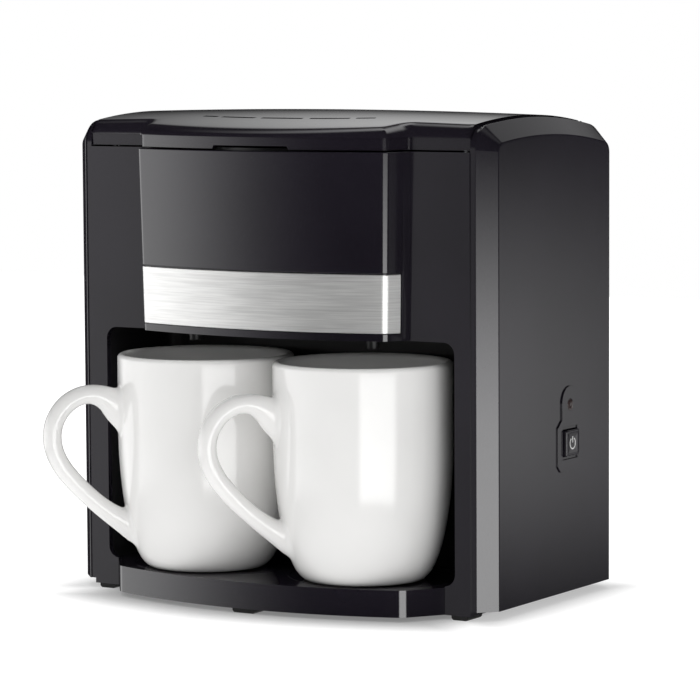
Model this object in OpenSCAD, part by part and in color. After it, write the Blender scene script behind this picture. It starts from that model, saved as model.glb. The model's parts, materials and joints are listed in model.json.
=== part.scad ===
// Two-mug drip coffee maker: flat-sided housing with chamfered side panels, a bowed
// brew head over an open mug bay, a hinged lid, and two stoneware mugs on the tray.
// Millimetres, +Z up, +Y towards the back. The origin is on the floor, under the middle
// of the whole object's box. Shapes are drawn from the fascia plane and set back by
// in_frame().

/* [Body] */
// Width over the outer faces of the side panels
body_w = 205.7; // [195:0.1:215]
// Depth from the fascia plane to the back edge of the side panels
body_d = 112.3; // [110:0.1:118]
// Height of the crown of the side panels
body_h = 204.6; // [202:0.1:206]
// Chamfer round each side panel
panel_chamfer = 7.2; // [4:0.1:8]
// Radius of the crowned top, seen from the side
crown_r = 320; // [300:10:600]
// Wall thickness of the mouldings
wall = 2.2; // [1.8:0.1:2.6]

/* [Brew head] */
// How far the brew head bows out from the fascia
head_out = 21; // [18:0.5:24]
// Radius of the bowed fronts of the head and the apron
bow_r = 200; // [180:5:260]
// Height of the steel band
band_h = 24.2; // [20:0.1:28]

/* [Base] */
// How far the apron bows out from the fascia
apron_out = 28; // [25:0.5:30]
// Height of the rubber feet
foot_h = 2; // [1.5:0.1:3]

/* [Lid] */
// Radius of the rolled front edge of the lid
lid_roll = 6; // [4:0.5:6.5]
// How much higher the lid's middle line stands than its side edges
lid_bulge = 1.4; // [0:0.1:1.6]

/* [Mugs] */
// Outer radius of a mug
mug_r = 37.65; // [36:0.05:37.9]
// Height of a mug
mug_h = 91.1; // [85:0.1:93]
// Angle of the handles forward of the machine's left
handle_turn = 46; // [30:1:60]

/* [Hidden] */
$fn = 48;

eps = 0.01;
touch = 0.3;                 // gap between a moving piece and its neighbours
fascia_y = -32.9;            // fascia plane in the model's own frame
fit = 0.05;                  // gap of a part that sits tightly in another
trim_gap = 0.15;             // glue gap behind the trims
half_w = body_w / 2;
panel_t = 6.85;              // thickness of a side panel
wall_x1 = half_w - panel_t;  // outer face of the housing's side walls
wall_x0 = wall_x1 - 2.7;     // inner face of the housing's side walls
side_z0 = 4;                 // bottom edge of the side panels
crown_y = 47;                // where the crown is highest
crown_z = body_h - crown_r;  // centre of the crown arc
crest_corner = 10;           // front corner radius of the panel's crest outline
face_corner = 3.6;           // front corner radius of the panel's flat face
rear_corner = 5;             // how much larger the rear crest corner is

bay_hw = 86;                 // mug bay half width
bay_z1 = 114;                // ceiling of the mug bay
bay_y1 = 50;                 // back of the mug bay
sill_z = 13.8;               // bottom edge of the bay opening
base_hw = 81;                // apron half width where it meets the fascia
fascia_t = 2.6;
fascia_top = 191.5;
head_hw = 65.5;              // head half width where it meets the fascia
head_window = 60;            // half width of the fascia's window behind the head
head_z0 = 114.3;             // underside of the head
band_z0 = 117.4;             // lower edge of the steel band
band_z1 = band_z0 + band_h;
corner_x = 57.6;             // centre of the head's corner round at the top
corner_round = 4.5;
head_taper = 1.2;            // how much narrower the head is at its foot
head_rake = 1.8;             // how much less it stands out at its foot
trim_t = 1.2;                // thickness of the trims on the head
wrap_y = -3.4;               // where the trims end on the head's sides

pan_z0 = foot_h;             // underside of the base pan
pan_floor = 2;
apron_z1 = 13.2;
tray_z0 = 10.6;
tray_z1 = 13.2;
well_z = 12.9;               // floor of the mug wells
well_r = 38.2;
well_y = 19.4;               // the wells lie further back than the mugs
mug_x = 39.06;
mug_y = 6.1;
mug_z = well_z + touch;

deck_z0 = 189.2;
deck_z1 = 191.4;
chamber_y = 18;              // centre of the brew chamber
chamber_r = 33.5;
flange_t = 1.2;
tank_hw = 80;
tank_y0 = 56;
tank_y1 = 93;
tank_z0 = 80;
riser_y = 64;
spout_x = 32;
spout_y = 86;
lid_hw = wall_x0 - touch;
lid_z0 = 192.2;
lid_skirt_z = 197.2;         // where the recessed skirt meets the rolled edge
lid_rise = 0.85;             // lid's side edges above the panels' crest
lid_t = 3;
hinge_y = 97;
knuckle_r = 4.2;
hinge_z = crown_z + sqrt(pow(crown_r + lid_rise - knuckle_r, 2) - pow(hinge_y - crown_y, 2));
pin_r = 2;
ear_x0 = 70;
ear_x1 = 78;
nozzle_x = 44;
nozzle_y = 6;
nozzle_z = 109.5;

heater_z = 30;               // centre height of the heater's water tube
heater_bend_x = -62;
heater_bend_r = 11;
bend_y = riser_y + heater_bend_r;
elbow_r = 12;

switch_y = 68;
switch_z = 67.3;
lamp_z = 83.4;
button_w = 11.5;
button_h = 11.1;
button_out = 2.2;            // button face above the panel's face
plate_t = 0.6;
inlet_x = 66;                // cord inlet in the back cover
inlet_z = 22;
back_screw_x = 84;
back_screw_z0 = 8;
back_screw_z1 = 170;
frame_screw = [87, 84];      // rear base screws, into the housing

// Points along an arc, from angle a0 to a1.
function arc_pts(cx, cy, r, a0, a1, n) =
    [for (i = [0:n]) let (a = a0 + (a1 - a0) * i / n) [cx + r * cos(a), cy + r * sin(a)]];

// Outline of the body seen from the side (Y, Z), set in by inset, with round corners.
function side_outline(inset, corner, rear) =
    let (y_front = inset + corner,
         y_back = body_d - inset - rear,
         z_front = crown_z + sqrt(pow(crown_r - inset - corner, 2) - pow(y_front - crown_y, 2)),
         z_back = crown_z + sqrt(pow(crown_r - inset - rear, 2) - pow(y_back - crown_y, 2)),
         a_front = atan2(z_front - crown_z, y_front - crown_y),
         a_back = atan2(z_back - crown_z, y_back - crown_y))
    concat([[inset, side_z0]],
           arc_pts(y_front, z_front, corner, 180, a_front, 10),
           arc_pts(crown_y, crown_z, crown_r - inset, a_front - 0.4, a_back + 0.4, 24),
           arc_pts(y_back, z_back, rear, a_back, 0, 10),
           [[body_d - inset, side_z0]]);

// The crest outline, set in by inset.
function crest_outline(inset) =
    side_outline(inset, crest_corner - inset, crest_corner + rear_corner - inset);

// Bowed outline in plan (X, Y) that meets the fascia at half width hw.
function bowed_outline(hw, cx, corner, out, inset, y_back) =
    let (yb = bow_r - out,
         cy = yb - sqrt(pow(bow_r - corner, 2) - cx * cx),
         c = max(corner - inset, 0.4),
         side = atan2(-cy, hw - inset - cx) - acos(c / norm([hw - inset - cx, cy])),
         bow = atan2(cy - yb, cx),
         right = concat([[hw - inset, y_back], [hw - inset, 0]],
                        arc_pts(cx, cy, c, side, bow, 6)),
         front = arc_pts(0, yb, bow_r - inset, bow - 1, -180 - bow + 1, 28),
         left = concat(arc_pts(-cx, cy, c, -180 - bow, -180 - side, 6),
                       [[-hw + inset, 0], [-hw + inset, y_back]]))
    concat(right, front, left);

// The head's outline at height z, which narrows and leans back towards its foot.
function head_outline(z, inset, y_back = 0.5) =
    let (t = (fascia_top - z) / (fascia_top - head_z0))
    bowed_outline(head_hw, corner_x - head_taper * t, corner_round,
                  head_out - head_rake * t, inset, y_back);

function apron_outline(inset, y_back = 0) =
    bowed_outline(base_hw, 65.5, 7, apron_out, inset, y_back);

// Rounded rectangle as points, centred on the origin.
function round_rect(w, d, r) =
    concat(arc_pts(w / 2 - r, d / 2 - r, r, 0, 90, 8),
           arc_pts(-w / 2 + r, d / 2 - r, r, 90, 180, 8),
           arc_pts(-w / 2 + r, -d / 2 + r, r, 180, 270, 8),
           arc_pts(w / 2 - r, -d / 2 + r, r, 270, 360, 8));

// Sets a shape drawn from the fascia plane back into the model's own frame.
module in_frame() {
    translate([0, fascia_y, 0]) children();
}

// Box given by its two corners.
module box(p0, p1) {
    translate(p0) cube(p1 - p0);
}

// Extrudes a side view (Y, Z) along X.
module along_x(x0, x1) {
    translate([x0, 0, 0]) rotate([90, 0, 90]) linear_extrude(x1 - x0) children();
}

// Cylinder along X, and along Y.
module rod_x(r, x0, x1) {
    translate([x0, 0, 0]) rotate([0, 90, 0]) cylinder(r = r, h = x1 - x0);
}
module rod_y(r, y0, y1) {
    translate([0, y0, 0]) rotate([-90, 0, 0]) cylinder(r = r, h = y1 - y0);
}

module both_sides() {
    children();
    mirror([1, 0, 0]) children();
}

// Part of the head between two heights, following its rake and taper.
module head_block(inset, z0, z1) {
    hull() {
        translate([0, 0, z0]) linear_extrude(eps) polygon(head_outline(z0, inset));
        translate([0, 0, z1 - eps]) linear_extrude(eps) polygon(head_outline(z1, inset));
    }
}

// ---- Housing ----

module fascia() {
    difference() {
        box([-wall_x0, 0, pan_z0], [wall_x0, fascia_t, fascia_top]);
        translate([0, fascia_t + 1, (sill_z + bay_z1) / 2]) rotate([90, 0, 0])
            linear_extrude(fascia_t + 2)
                polygon(round_rect(2 * bay_hw, bay_z1 - sill_z, 5));
        box([-base_hw - 0.2, -1, pan_z0 - 1], [base_hw + 0.2, fascia_t + 1, sill_z + 5]);
        box([-head_window, -1, bay_z1 + 2], [head_window, fascia_t + 1, fascia_top + 1]);
    }
}

module side_wall() {
    difference() {
        along_x(wall_x0, wall_x1) polygon(crest_outline(0.5));
        for (z = [30, 120]) translate([0, 88, z]) rod_x(2.2, wall_x0 - 1, wall_x1 + 1);
    }
    // ledge that carries the deck
    box([wall_x0 - 2.5, fascia_t, deck_z0 - 2.2], [wall_x0 + eps, 100, deck_z0]);
    // stiffening ribs
    for (y = [62, 84])
        box([wall_x0 - 2, y - 0.8, 20], [wall_x0 + eps, y + 0.8, deck_z0 - 10]);
    // boss for a base screw
    difference() {
        union() {
            translate([frame_screw[0], frame_screw[1], 4.2]) cylinder(r = 3.4, h = 17);
            box([frame_screw[0], frame_screw[1] - 0.8, 12.3],
                [wall_x0 + eps, frame_screw[1] + 0.8, 21.2]);
        }
        translate([frame_screw[0], frame_screw[1], 3]) cylinder(r = 1.6, h = 14);
    }
    // boss for an upper screw of the back cover
    difference() {
        union() {
            translate([back_screw_x, 0, back_screw_z1]) rod_y(3.4, 98, 108.4);
            box([back_screw_x, 100, back_screw_z1 - 1], [wall_x0 + eps, 106, back_screw_z1 + 1]);
        }
        translate([back_screw_x, 0, back_screw_z1]) rod_y(1.7, 99, 110);
    }
}

module housing_shell() color([0.07, 0.07, 0.08]) in_frame() {
    difference() {
        union() {
            fascia();
            both_sides() side_wall();
        }
        // window behind the switch and lamp
        box([wall_x0 - 3, switch_y - 9.5, switch_z - 9.5],
            [wall_x1 + 1, switch_y + 9.5, lamp_z + 5]);
    }
}

module bay_liner() color([0.05, 0.05, 0.06]) in_frame() {
    outer = 2 * (bay_hw + 0.2 + wall);
    inner = 2 * (bay_hw + 0.2);
    difference() {
        translate([0, 0, tray_z0]) linear_extrude(bay_z1 + 2 - tray_z0) intersection() {
            translate([0, bay_y1 + wall - 40]) polygon(round_rect(outer, 80, 8));
            translate([-100, fascia_t]) square([200, 80]);
        }
        translate([0, 0, tray_z0 - 1]) linear_extrude(bay_z1 - tray_z0 + 1) intersection() {
            translate([0, bay_y1 - 40]) polygon(round_rect(inner, 80, 6));
            translate([-100, fascia_t - 1]) square([200, 80]);
        }
        both_sides() translate([nozzle_x, nozzle_y, bay_z1 - 1]) cylinder(r = 4, h = 5);
    }
}

// Flat side panel, chamfered all round and pocketed behind.
module side_panel() {
    difference() {
        hull() {
            along_x(wall_x1, wall_x1 + 0.15) polygon(crest_outline(0));
            along_x(half_w - eps, half_w)
                polygon(side_outline(panel_chamfer, face_corner, face_corner + 1));
        }
        difference() {
            along_x(wall_x1 - 1, half_w - 2.6) polygon(side_outline(9.5, 4, 4));
            box([0, 0, 0], [half_w, body_d, 8]);
            for (z = [45, 100, 150]) box([0, 0, z - 0.9], [half_w, body_d, z + 0.9]);
            for (y = [38, 84]) box([0, y - 0.9, 0], [half_w, y + 0.9, body_h]);
            box([0, switch_y - 14, switch_z - 15], [half_w, switch_y + 14, lamp_z + 10]);
        }
    }
    // locating pins in the housing's side walls
    for (z = [30, 120]) translate([0, 88, z]) rod_x(2, wall_x0, half_w - 1);
}

module left_side_panel() color([0.1, 0.1, 0.11]) in_frame() {
    mirror([1, 0, 0]) side_panel();
}

module right_side_panel() color([0.1, 0.1, 0.11]) in_frame() {
    difference() {
        side_panel();
        box([wall_x1 - 1, switch_y - button_w / 2 - 0.3, switch_z - button_h / 2 - 0.3],
            [half_w + 1, switch_y + button_w / 2 + 0.3, switch_z + button_h / 2 + 0.3]);
        translate([0, switch_y, lamp_z]) rod_x(2.5, wall_x1 - 1, half_w + 1);
    }
}

module back_cover() color([0.06, 0.06, 0.07]) in_frame() {
    rear = 1.5;
    difference() {
        along_x(-wall_x0 + 0.1, wall_x0 - 0.1) intersection() {
            difference() {
                polygon(crest_outline(rear));
                translate([0, -1]) polygon(crest_outline(rear + wall));
            }
            translate([hinge_y + knuckle_r + 2.8, 0]) square([50, 250]);
        }
        box([-100, 90, 0], [100, body_d - rear - wall, 180]);
        // ventilation slots
        for (i = [-4:4]) {
            box([i * 11 - 1.25, 100, 24], [i * 11 + 1.25, 120, 44]);
            box([i * 11 - 1.25, 100, 158], [i * 11 + 1.25, 120, 174]);
        }
        translate([inlet_x, 0, inlet_z]) rod_y(6.2, 100, 120);
        for (p = back_screw_places) translate([p[0], 0, p[1]]) rod_y(1.7, 100, 120);
    }
}

back_screw_places = [
    [-back_screw_x, back_screw_z0], [back_screw_x, back_screw_z0],
    [-back_screw_x, back_screw_z1], [back_screw_x, back_screw_z1]];

// ---- Base ----

module base_pan() color([0.08, 0.08, 0.09]) in_frame() {
    rear_y = body_d - 1.5 - wall - 0.1;
    rear_hw = wall_x0 - 0.1;
    rib_z = tray_z0 - pan_z0;
    difference() {
        union() {
            difference() {
                union() {
                    translate([0, 0, pan_z0]) linear_extrude(apron_z1 - pan_z0)
                        polygon(apron_outline(0, fascia_t + 2));
                    box([-rear_hw, fascia_t + 0.1, pan_z0], [rear_hw, rear_y, 12]);
                }
                translate([0, 0, pan_z0 + pan_floor]) linear_extrude(20)
                    polygon(apron_outline(2, fascia_t + 2));
                box([-rear_hw + 2, fascia_t + 2.1, pan_z0 + pan_floor], [rear_hw - 2, rear_y - 2, 20]);
                box([-base_hw + 2, -1, pan_z0 + pan_floor], [base_hw - 2, fascia_t + 3, 20]);
                // seat for the tray and the bay liner
                box([-bay_hw - 3, fascia_t, tray_z0], [bay_hw + 3, bay_y1 + 3, 20]);
            }
            // ribs that carry the tray and the bay liner
            for (x = [-60, -20, 20, 60])
                box([x - 1, -12, pan_z0 + 1], [x + 1, bay_y1, pan_z0 + rib_z]);
            for (x = [-bay_hw - 1.3, bay_hw + 1.3])
                box([x - 1, fascia_t + 1, pan_z0 + 1], [x + 1, bay_y1 + 2, pan_z0 + rib_z]);
            box([-bay_hw - 1, bay_y1 + 0.2, pan_z0 + 1], [bay_hw + 1, bay_y1 + 2, pan_z0 + rib_z]);
        }
        for (p = foot_places) translate([p[0], p[1], 0]) cylinder(r = 2.5, h = 10);
        both_sides() translate([back_screw_x, 0, back_screw_z0]) rod_y(1.7, rear_y - 5, rear_y + 1);
        for (p = base_screw_places) translate([p[0], p[1], 0]) {
            cylinder(r = 1.7, h = 20);
            cylinder(r = 3.6, h = pan_z0 + 1.2);
        }
        for (i = [-4:4]) box([i * 9 - 1.5, 62, 0], [i * 9 + 1.5, 92, pan_z0 + 3]);
    }
}

// Place (X, Y) and size (X, Y) of each foot
foot_places = [
    [-87.7, 6.8, 7.8, 12], [87.7, 6.8, 7.8, 12],
    [-87.7, 98, 7.8, 12], [87.7, 98, 7.8, 12],
    [0, -22.6, 11, 7.6]];
tray_screw = [72, 14];       // front base screws, into the tray
base_screw_places = [
    [-tray_screw[0], tray_screw[1]], [tray_screw[0], tray_screw[1]],
    [-frame_screw[0], frame_screw[1]], frame_screw];

module mug_tray() color([0.06, 0.06, 0.07]) in_frame() {
    difference() {
        union() {
            translate([0, 0, tray_z0]) linear_extrude(tray_z1 - tray_z0) union() {
                polygon(apron_outline(2.2, 3));
                translate([-bay_hw + 0.1, fascia_t + 0.1]) square([2 * bay_hw - 0.2, 42]);
                translate([-bay_hw + 6.4, 20]) square([2 * bay_hw - 12.8, bay_y1 - 20.1]);
            }
            // raised rims of the wells
            intersection() {
                both_sides() translate([mug_x, well_y, tray_z1 - 1])
                    cylinder(r = well_r + 0.8, h = 1.1, $fn = 128);
                box([-bay_hw + 1, -40, 0], [bay_hw - 1, 44, 20]);
            }
            // bosses for the base screws
            both_sides() translate([tray_screw[0], tray_screw[1], 4.2])
                cylinder(r = 3.4, h = tray_z0 - 3.2);
        }
        both_sides() {
            intersection() {
                translate([mug_x, well_y, well_z]) cylinder(r = well_r, h = 5, $fn = 128);
                box([-bay_hw + 1, -40, 0], [bay_hw - 1, 43.2, 20]);
            }
            // drip groove under the mug
            translate([mug_x, mug_y, 0]) rotate_extrude($fn = 96)
                translate([18, well_z - 0.6]) square([2.4, 2]);
            translate([tray_screw[0], tray_screw[1], 4]) cylinder(r = 1.6, h = 7.4);
        }
    }
}

module feet() color([0.04, 0.04, 0.04]) in_frame() {
    for (p = foot_places) translate([p[0], p[1], 0]) {
        translate([0, p[3] / 2, 0]) rotate([90, 0, 0]) linear_extrude(p[3]) polygon([
            [-p[2] / 2 + 0.8, 0], [p[2] / 2 - 0.8, 0], [p[2] / 2, 0.8], [p[2] / 2, pan_z0],
            [-p[2] / 2, pan_z0], [-p[2] / 2, 0.8]]);
        cylinder(r = 2.5 - fit, h = pan_z0 + pan_floor + 0.8);
    }
}

module base_screws() color([0.75, 0.75, 0.77]) in_frame() {
    for (p = base_screw_places) translate([p[0], p[1], pan_z0]) {
        difference() {
            cylinder(r = 3.2, h = 1.2);
            translate([-0.4, -2, -1]) cube([0.8, 4, 1.6]);
            translate([-2, -0.4, -1]) cube([4, 0.8, 1.6]);
        }
        cylinder(r = 1.5, h = 9);
    }
}

// ---- Brew head ----

module head_shell() color([0.05, 0.05, 0.06]) in_frame() {
    difference() {
        union() {
            head_block(trim_t, band_z0 - 1, band_z1);
            head_block(trim_t, band_z1, fascia_top - 0.2);
            head_block(0, head_z0, band_z0 - 0.2);
            intersection() {
                head_block(0, head_z0, fascia_top - 0.2);
                box([-100, wrap_y, head_z0], [100, 0, fascia_top]);
            }
        }
        head_block(trim_t + wall, head_z0 + wall, fascia_top + 1);
        box([-100, 0, 0], [100, 10, 250]);
    }
    // top rim that the deck rests on
    both_sides() box([head_window - 2, -6, deck_z0 - 3], [head_window + 1.2, -0.1, deck_z0]);
}

module upper_front_panel() color([0.16, 0.16, 0.17]) in_frame() {
    intersection() {
        difference() {
            head_block(0, band_z1 + 0.4, fascia_top);
            head_block(trim_t - trim_gap, band_z1, fascia_top + 1);
        }
        box([-100, -60, 0], [100, wrap_y - 0.1, 250]);
    }
}

module steel_band() color([0.78, 0.78, 0.79]) in_frame() {
    intersection() {
        difference() {
            head_block(0.1, band_z0, band_z1);
            head_block(trim_t - trim_gap, band_z0 - 1, band_z1 + 1);
        }
        box([-100, -60, 0], [100, wrap_y - 0.6, 250]);
    }
}

// Brew chamber with its cone, the channel under it and the two outlet nozzles.
module brew_funnel() color([0.1, 0.1, 0.11]) in_frame() {
    ledge_z = 182;
    bar_z0 = bay_z1 + 2.2;
    bar_z1 = 124.4;
    difference() {
        union() {
            translate([0, chamber_y, 0]) rotate_extrude($fn = 96) polygon([
                [0, 124], [9, 124], [chamber_r, 136], [chamber_r, deck_z1],
                [chamber_r + 1.5, deck_z1], [chamber_r + 1.5, deck_z1 + flange_t],
                [chamber_r - 1.8, deck_z1 + flange_t], [chamber_r - 1.8, ledge_z],
                [chamber_r - 3.8, ledge_z - 1.5], [chamber_r - 3.8, 139],
                [7, 126.2], [0, 126.2]]);
            box([-50, 0.6, bar_z0], [50, 11.4, bar_z1]);
            box([-7, 6, bar_z0], [7, 25, bar_z1]);
            both_sides() translate([nozzle_x, nozzle_y, nozzle_z])
                cylinder(r1 = 2.6, r2 = 3.2, h = bar_z0 - nozzle_z + 1);
        }
        box([-47, 2.6, bar_z0 + 2], [47, 9.4, bar_z1 - 2]);
        box([-4, 6, bar_z0 + 2], [4, 22, bar_z1 - 2]);
        translate([0, chamber_y, bar_z0 + 3]) cylinder(r = 3.5, h = 9);
        both_sides() translate([nozzle_x, nozzle_y, nozzle_z - 1]) cylinder(r = 1.6, h = 11);
    }
}

basket_z1 = 185.3;
basket_r1 = 28;
basket_r0 = 17;
basket_z0 = 146;

// Ring, ribs, foot disc and finger bridge of the lift-out filter basket.
module filter_frame() color([0.12, 0.12, 0.13]) in_frame() translate([0, chamber_y, 0]) {
    rest_z = 182 + touch;
    rotate_extrude($fn = 96) polygon([
        [basket_r1, rest_z - 2], [basket_r1 + 1.4, rest_z - 2], [basket_r1 + 1.4, rest_z],
        [chamber_r - 2.2, rest_z], [chamber_r - 2.2, basket_z1], [basket_r1, basket_z1]]);
    translate([0, 0, basket_z0 - 1.4]) cylinder(r = basket_r0 + 1, h = 1.4, $fn = 96);
    // ribs from the ring down the cone to the foot
    for (a = [0:45:315]) rotate([0, 0, a]) rotate([90, 0, 0]) translate([0, 0, -0.8])
        linear_extrude(1.6) polygon([
            [basket_r1 + 0.05, rest_z - 1], [basket_r1 + 1.3, rest_z - 1],
            [basket_r0 + 1, basket_z0 - 1.2], [basket_r0 - 0.3, basket_z0 - 1.2]]);
    // finger bridge
    difference() {
        box([-basket_r1 - 2.6, -2.5, basket_z1 - 0.5], [basket_r1 + 2.6, 2.5, 194]);
        box([-basket_r1, -5, basket_z1 - 1], [basket_r1, 5, 191.6]);
    }
}

module filter_mesh() color([0.8, 0.72, 0.35]) in_frame() translate([0, chamber_y, 0]) {
    rotate_extrude($fn = 96) polygon([
        [0, basket_z0], [basket_r0 - 0.3, basket_z0], [basket_r1 - 0.02, 181.3],
        [basket_r1 - 0.02, 184], [basket_r1 - 0.6, 184], [basket_r1 - 0.6, 181.4],
        [basket_r0 - 0.9, basket_z0 + 0.6], [0, basket_z0 + 0.6]]);
}

// ---- Water path ----

module inner_deck() color([0.09, 0.09, 0.1]) in_frame() {
    difference() {
        union() {
            translate([0, 0, deck_z0]) linear_extrude(deck_z1 - deck_z0) union() {
                translate([-wall_x0 + fit, fascia_t + fit])
                    square([2 * (wall_x0 - fit), 98.8 - fascia_t - fit]);
                intersection() {
                    polygon(head_outline(deck_z0, trim_t + wall + 0.1, 10));
                    translate([-head_window + 0.1, -40]) square([2 * head_window - 0.2, 44]);
                }
            }
            // hinge lugs
            both_sides() for (x = [ear_x0 - 6.3, ear_x1 + touch]) {
                translate([0, hinge_y, hinge_z]) rod_x(3.9, x, x + 6);
                box([x, hinge_y - 1.6, deck_z1 - 0.5], [x + 6, hinge_y + 1.8, hinge_z]);
            }
        }
        translate([0, chamber_y, deck_z0 - 1]) cylinder(r = chamber_r + 0.2, h = 10, $fn = 96);
        translate([0, (tank_y0 + tank_y1) / 2, deck_z0 - 1]) linear_extrude(10)
            polygon(round_rect(2 * tank_hw + 0.4, tank_y1 - tank_y0 + 0.4, 6));
        translate([0, hinge_y, hinge_z]) rod_x(pin_r + fit, -100, 100);
        for (x = [-87, 87]) for (y = [12, 80]) translate([x, y, deck_z0 - 1]) cylinder(r = 1.7, h = 5);
    }
}

module deck_screws() color([0.75, 0.75, 0.77]) in_frame() {
    for (x = [-87, 87]) for (y = [12, 80]) translate([x, y, 0]) {
        difference() {
            translate([0, 0, deck_z1]) cylinder(r = 3, h = 1.4);
            translate([-0.4, -2, deck_z1 + 0.8]) box([0, 0, 0], [0.8, 4, 2]);
            translate([-2, -0.4, deck_z1 + 0.8]) box([0, 0, 0], [4, 0.8, 2]);
        }
        translate([0, 0, deck_z0]) cylinder(r = 1.5, h = deck_z1 - deck_z0 + 0.1);
    }
}

module water_tank() color([0.13, 0.13, 0.14]) in_frame() {
    mid = (tank_y0 + tank_y1) / 2;
    depth = tank_y1 - tank_y0;
    difference() {
        union() {
            translate([0, mid, tank_z0]) linear_extrude(deck_z1 + flange_t - tank_z0)
                polygon(round_rect(2 * tank_hw, depth, 6));
            translate([0, mid, deck_z1]) linear_extrude(flange_t)
                polygon(round_rect(2 * tank_hw + 3, depth + 3, 7));
            translate([spout_x, spout_y, tank_z0 - 14]) cylinder(r = 4 - fit, h = 15);
            translate([0, riser_y, tank_z0 - 4]) cylinder(r = 8, h = 5);
        }
        translate([0, mid, tank_z0 + 2]) linear_extrude(200)
            polygon(round_rect(2 * tank_hw - 4, depth - 4, 4));
        translate([spout_x, spout_y, tank_z0 - 15]) cylinder(r = 2.6, h = 20);
        translate([0, riser_y, tank_z0 - 5]) cylinder(r = 4.55, h = 10);
        translate([0, riser_y, tank_z0 - 5]) cylinder(r = 6.2, h = 3.5);
    }
}

module tank_seal() color([0.6, 0.25, 0.2]) in_frame() {
    difference() {
        translate([0, riser_y, tank_z0 - 4]) cylinder(r = 6.2 - fit, h = 2.45);
        translate([0, riser_y, tank_z0 - 5]) cylinder(r = 4.5 + fit, h = 5);
    }
}

module riser_tube() color([0.85, 0.85, 0.83]) in_frame() translate([0, riser_y, 0]) {
    difference() {
        cylinder_between(4.5, 58, 193);
        cylinder_between(3, 57, 194);
    }
}

module cylinder_between(r, z0, z1) {
    translate([0, 0, z0]) cylinder(r = r, h = z1 - z0);
}

// Outlet arm from the riser to the middle of the filter.
module water_spreader() color([0.12, 0.12, 0.13]) in_frame() {
    z0 = deck_z1 + flange_t + 0.4;
    z1 = 198;
    y0 = 29;
    y1 = 71;
    difference() {
        translate([0, (y0 + y1) / 2, z0]) linear_extrude(z1 - z0)
            polygon(round_rect(15, y1 - y0, 6));
        box([-4, y0 + 2.5, z0 + 1.4], [4, riser_y + 3, z1 - 1.4]);
        translate([0, riser_y, z0 - 1]) cylinder(r = 3, h = 4);
        for (x = [-2.5, 2.5]) for (y = [y0 + 4.5, y0 + 8.5])
            translate([x, y, z0 - 1]) cylinder(r = 0.9, h = 4);
    }
}

// ---- Lid ----

// Height of the lid's top, lowered by drop.
function lid_top(x, y, drop) =
    crown_z + sqrt(pow(crown_r + lid_rise - drop, 2) - pow(y - crown_y, 2))
    + lid_bulge * (1 - pow(x / lid_hw, 2));

// Everything under the lid's top, lowered by drop and then squeezed towards the skirt's
// top edge by level. Its facets stand at fixed steps, so that the pieces it trims share
// the same faces.
module under_crown(drop, level = 1) {
    nx = 10;
    ny = 24;
    floor_z = 150;
    top = [for (i = [0:nx]) for (j = [0:ny]) let (x = -100 + 20 * i, y = -40 + 6.5 * j)
        [x, y, lid_skirt_z + (lid_top(x, y, drop) - lid_skirt_z) * level]];
    base = [for (x = [-100, 100]) for (y = [-40, 116]) [x, y, floor_z]];
    n = len(top);
    polyhedron(concat(top, base), concat(
        [for (i = [0:nx - 1]) for (j = [0:ny - 1]) let (k = i * (ny + 1) + j)
            [k, k + 1, k + ny + 2, k + ny + 1]],
        [concat([n], [for (i = [0:nx]) i * (ny + 1)], [n + 2]),
         concat([n + 3], [for (i = [nx:-1:0]) i * (ny + 1) + ny], [n + 1]),
         concat([n + 1], [for (j = [ny:-1:0]) j], [n]),
         concat([n + 2], [for (j = [0:ny]) nx * (ny + 1) + j], [n + 3]),
         [n, n + 2, n + 3, n + 1]]));
}

// A plan outline with its front edge rolled over under the crown. The outline is given by
// part: the nose over the head, or the plate behind it.
module rolled(part, inset) {
    steps = 5;
    hull() for (k = [0:steps]) {
        a = 90 * k / steps;
        in = inset + lid_roll * (1 - cos(a));
        intersection() {
            translate([0, 0, lid_skirt_z]) linear_extrude(30) polygon(
                part == "nose" ? head_outline(fascia_top, in, 12)
                : [[-lid_hw, in], [lid_hw, in], [lid_hw, lid_back], [-lid_hw, lid_back]]);
            under_crown(0, max(sin(a), 0.004));
        }
    }
}

lid_back = hinge_y - 2;

module lid() color([0.3, 0.3, 0.31]) in_frame() {
    difference() {
        union() {
            // rolled top
            rolled("nose", 0.6);
            rolled("plate", 0.4);
            // recessed skirt
            translate([0, 0, lid_z0]) linear_extrude(lid_skirt_z + 1 - lid_z0) union() {
                polygon(head_outline(fascia_top, 1.6, 4));
                translate([-lid_hw, 1.4]) square([2 * lid_hw, hinge_y - 5 - 1.4]);
            }
            translate([0, hinge_y, hinge_z]) rod_x(knuckle_r, -lid_hw, lid_hw);
        }
        // hollow underside, with two ribs left across it
        difference() {
            intersection() {
                translate([0, 0, lid_z0 - 1]) linear_extrude(20) union() {
                    polygon(head_outline(fascia_top, 3.6, 4));
                    translate([-lid_hw + 2, 3.4]) square([2 * lid_hw - 4, hinge_y - 10.4]);
                }
                under_crown(lid_t);
            }
            for (x = [-45, 45]) box([x - 0.7, 8, lid_skirt_z], [x + 0.7, 95, 220]);
        }
        // room for the hinge lugs
        both_sides() for (x = [ear_x0 - 6.6, ear_x1])
            box([x, hinge_y - 5.5, lid_z0 - 1], [x + 6.6, hinge_y + 10, 210]);
        translate([0, hinge_y, hinge_z]) rod_x(pin_r + fit, -lid_hw - 1, lid_hw + 1);
        // steam vents on an arc that follows the bow
        for (v = vents) translate([0, vent_arc_y, 0]) rotate([0, 0, v[0] / vent_arc_r * 180 / PI])
            box([-v[1] / 2, -vent_arc_r - 1.2, 190], [v[1] / 2, -vent_arc_r + 1.2, 210]);
        // finger notch in the skirt
        box([-18.5, -30, lid_z0 - 1], [18.5, -14, lid_z0 + 1.4]);
        // room for the tank's flange
        box([-lid_hw + 2, 50, lid_z0 - 1], [lid_hw - 2, 100, lid_z0 + 0.8]);
    }
}

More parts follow.
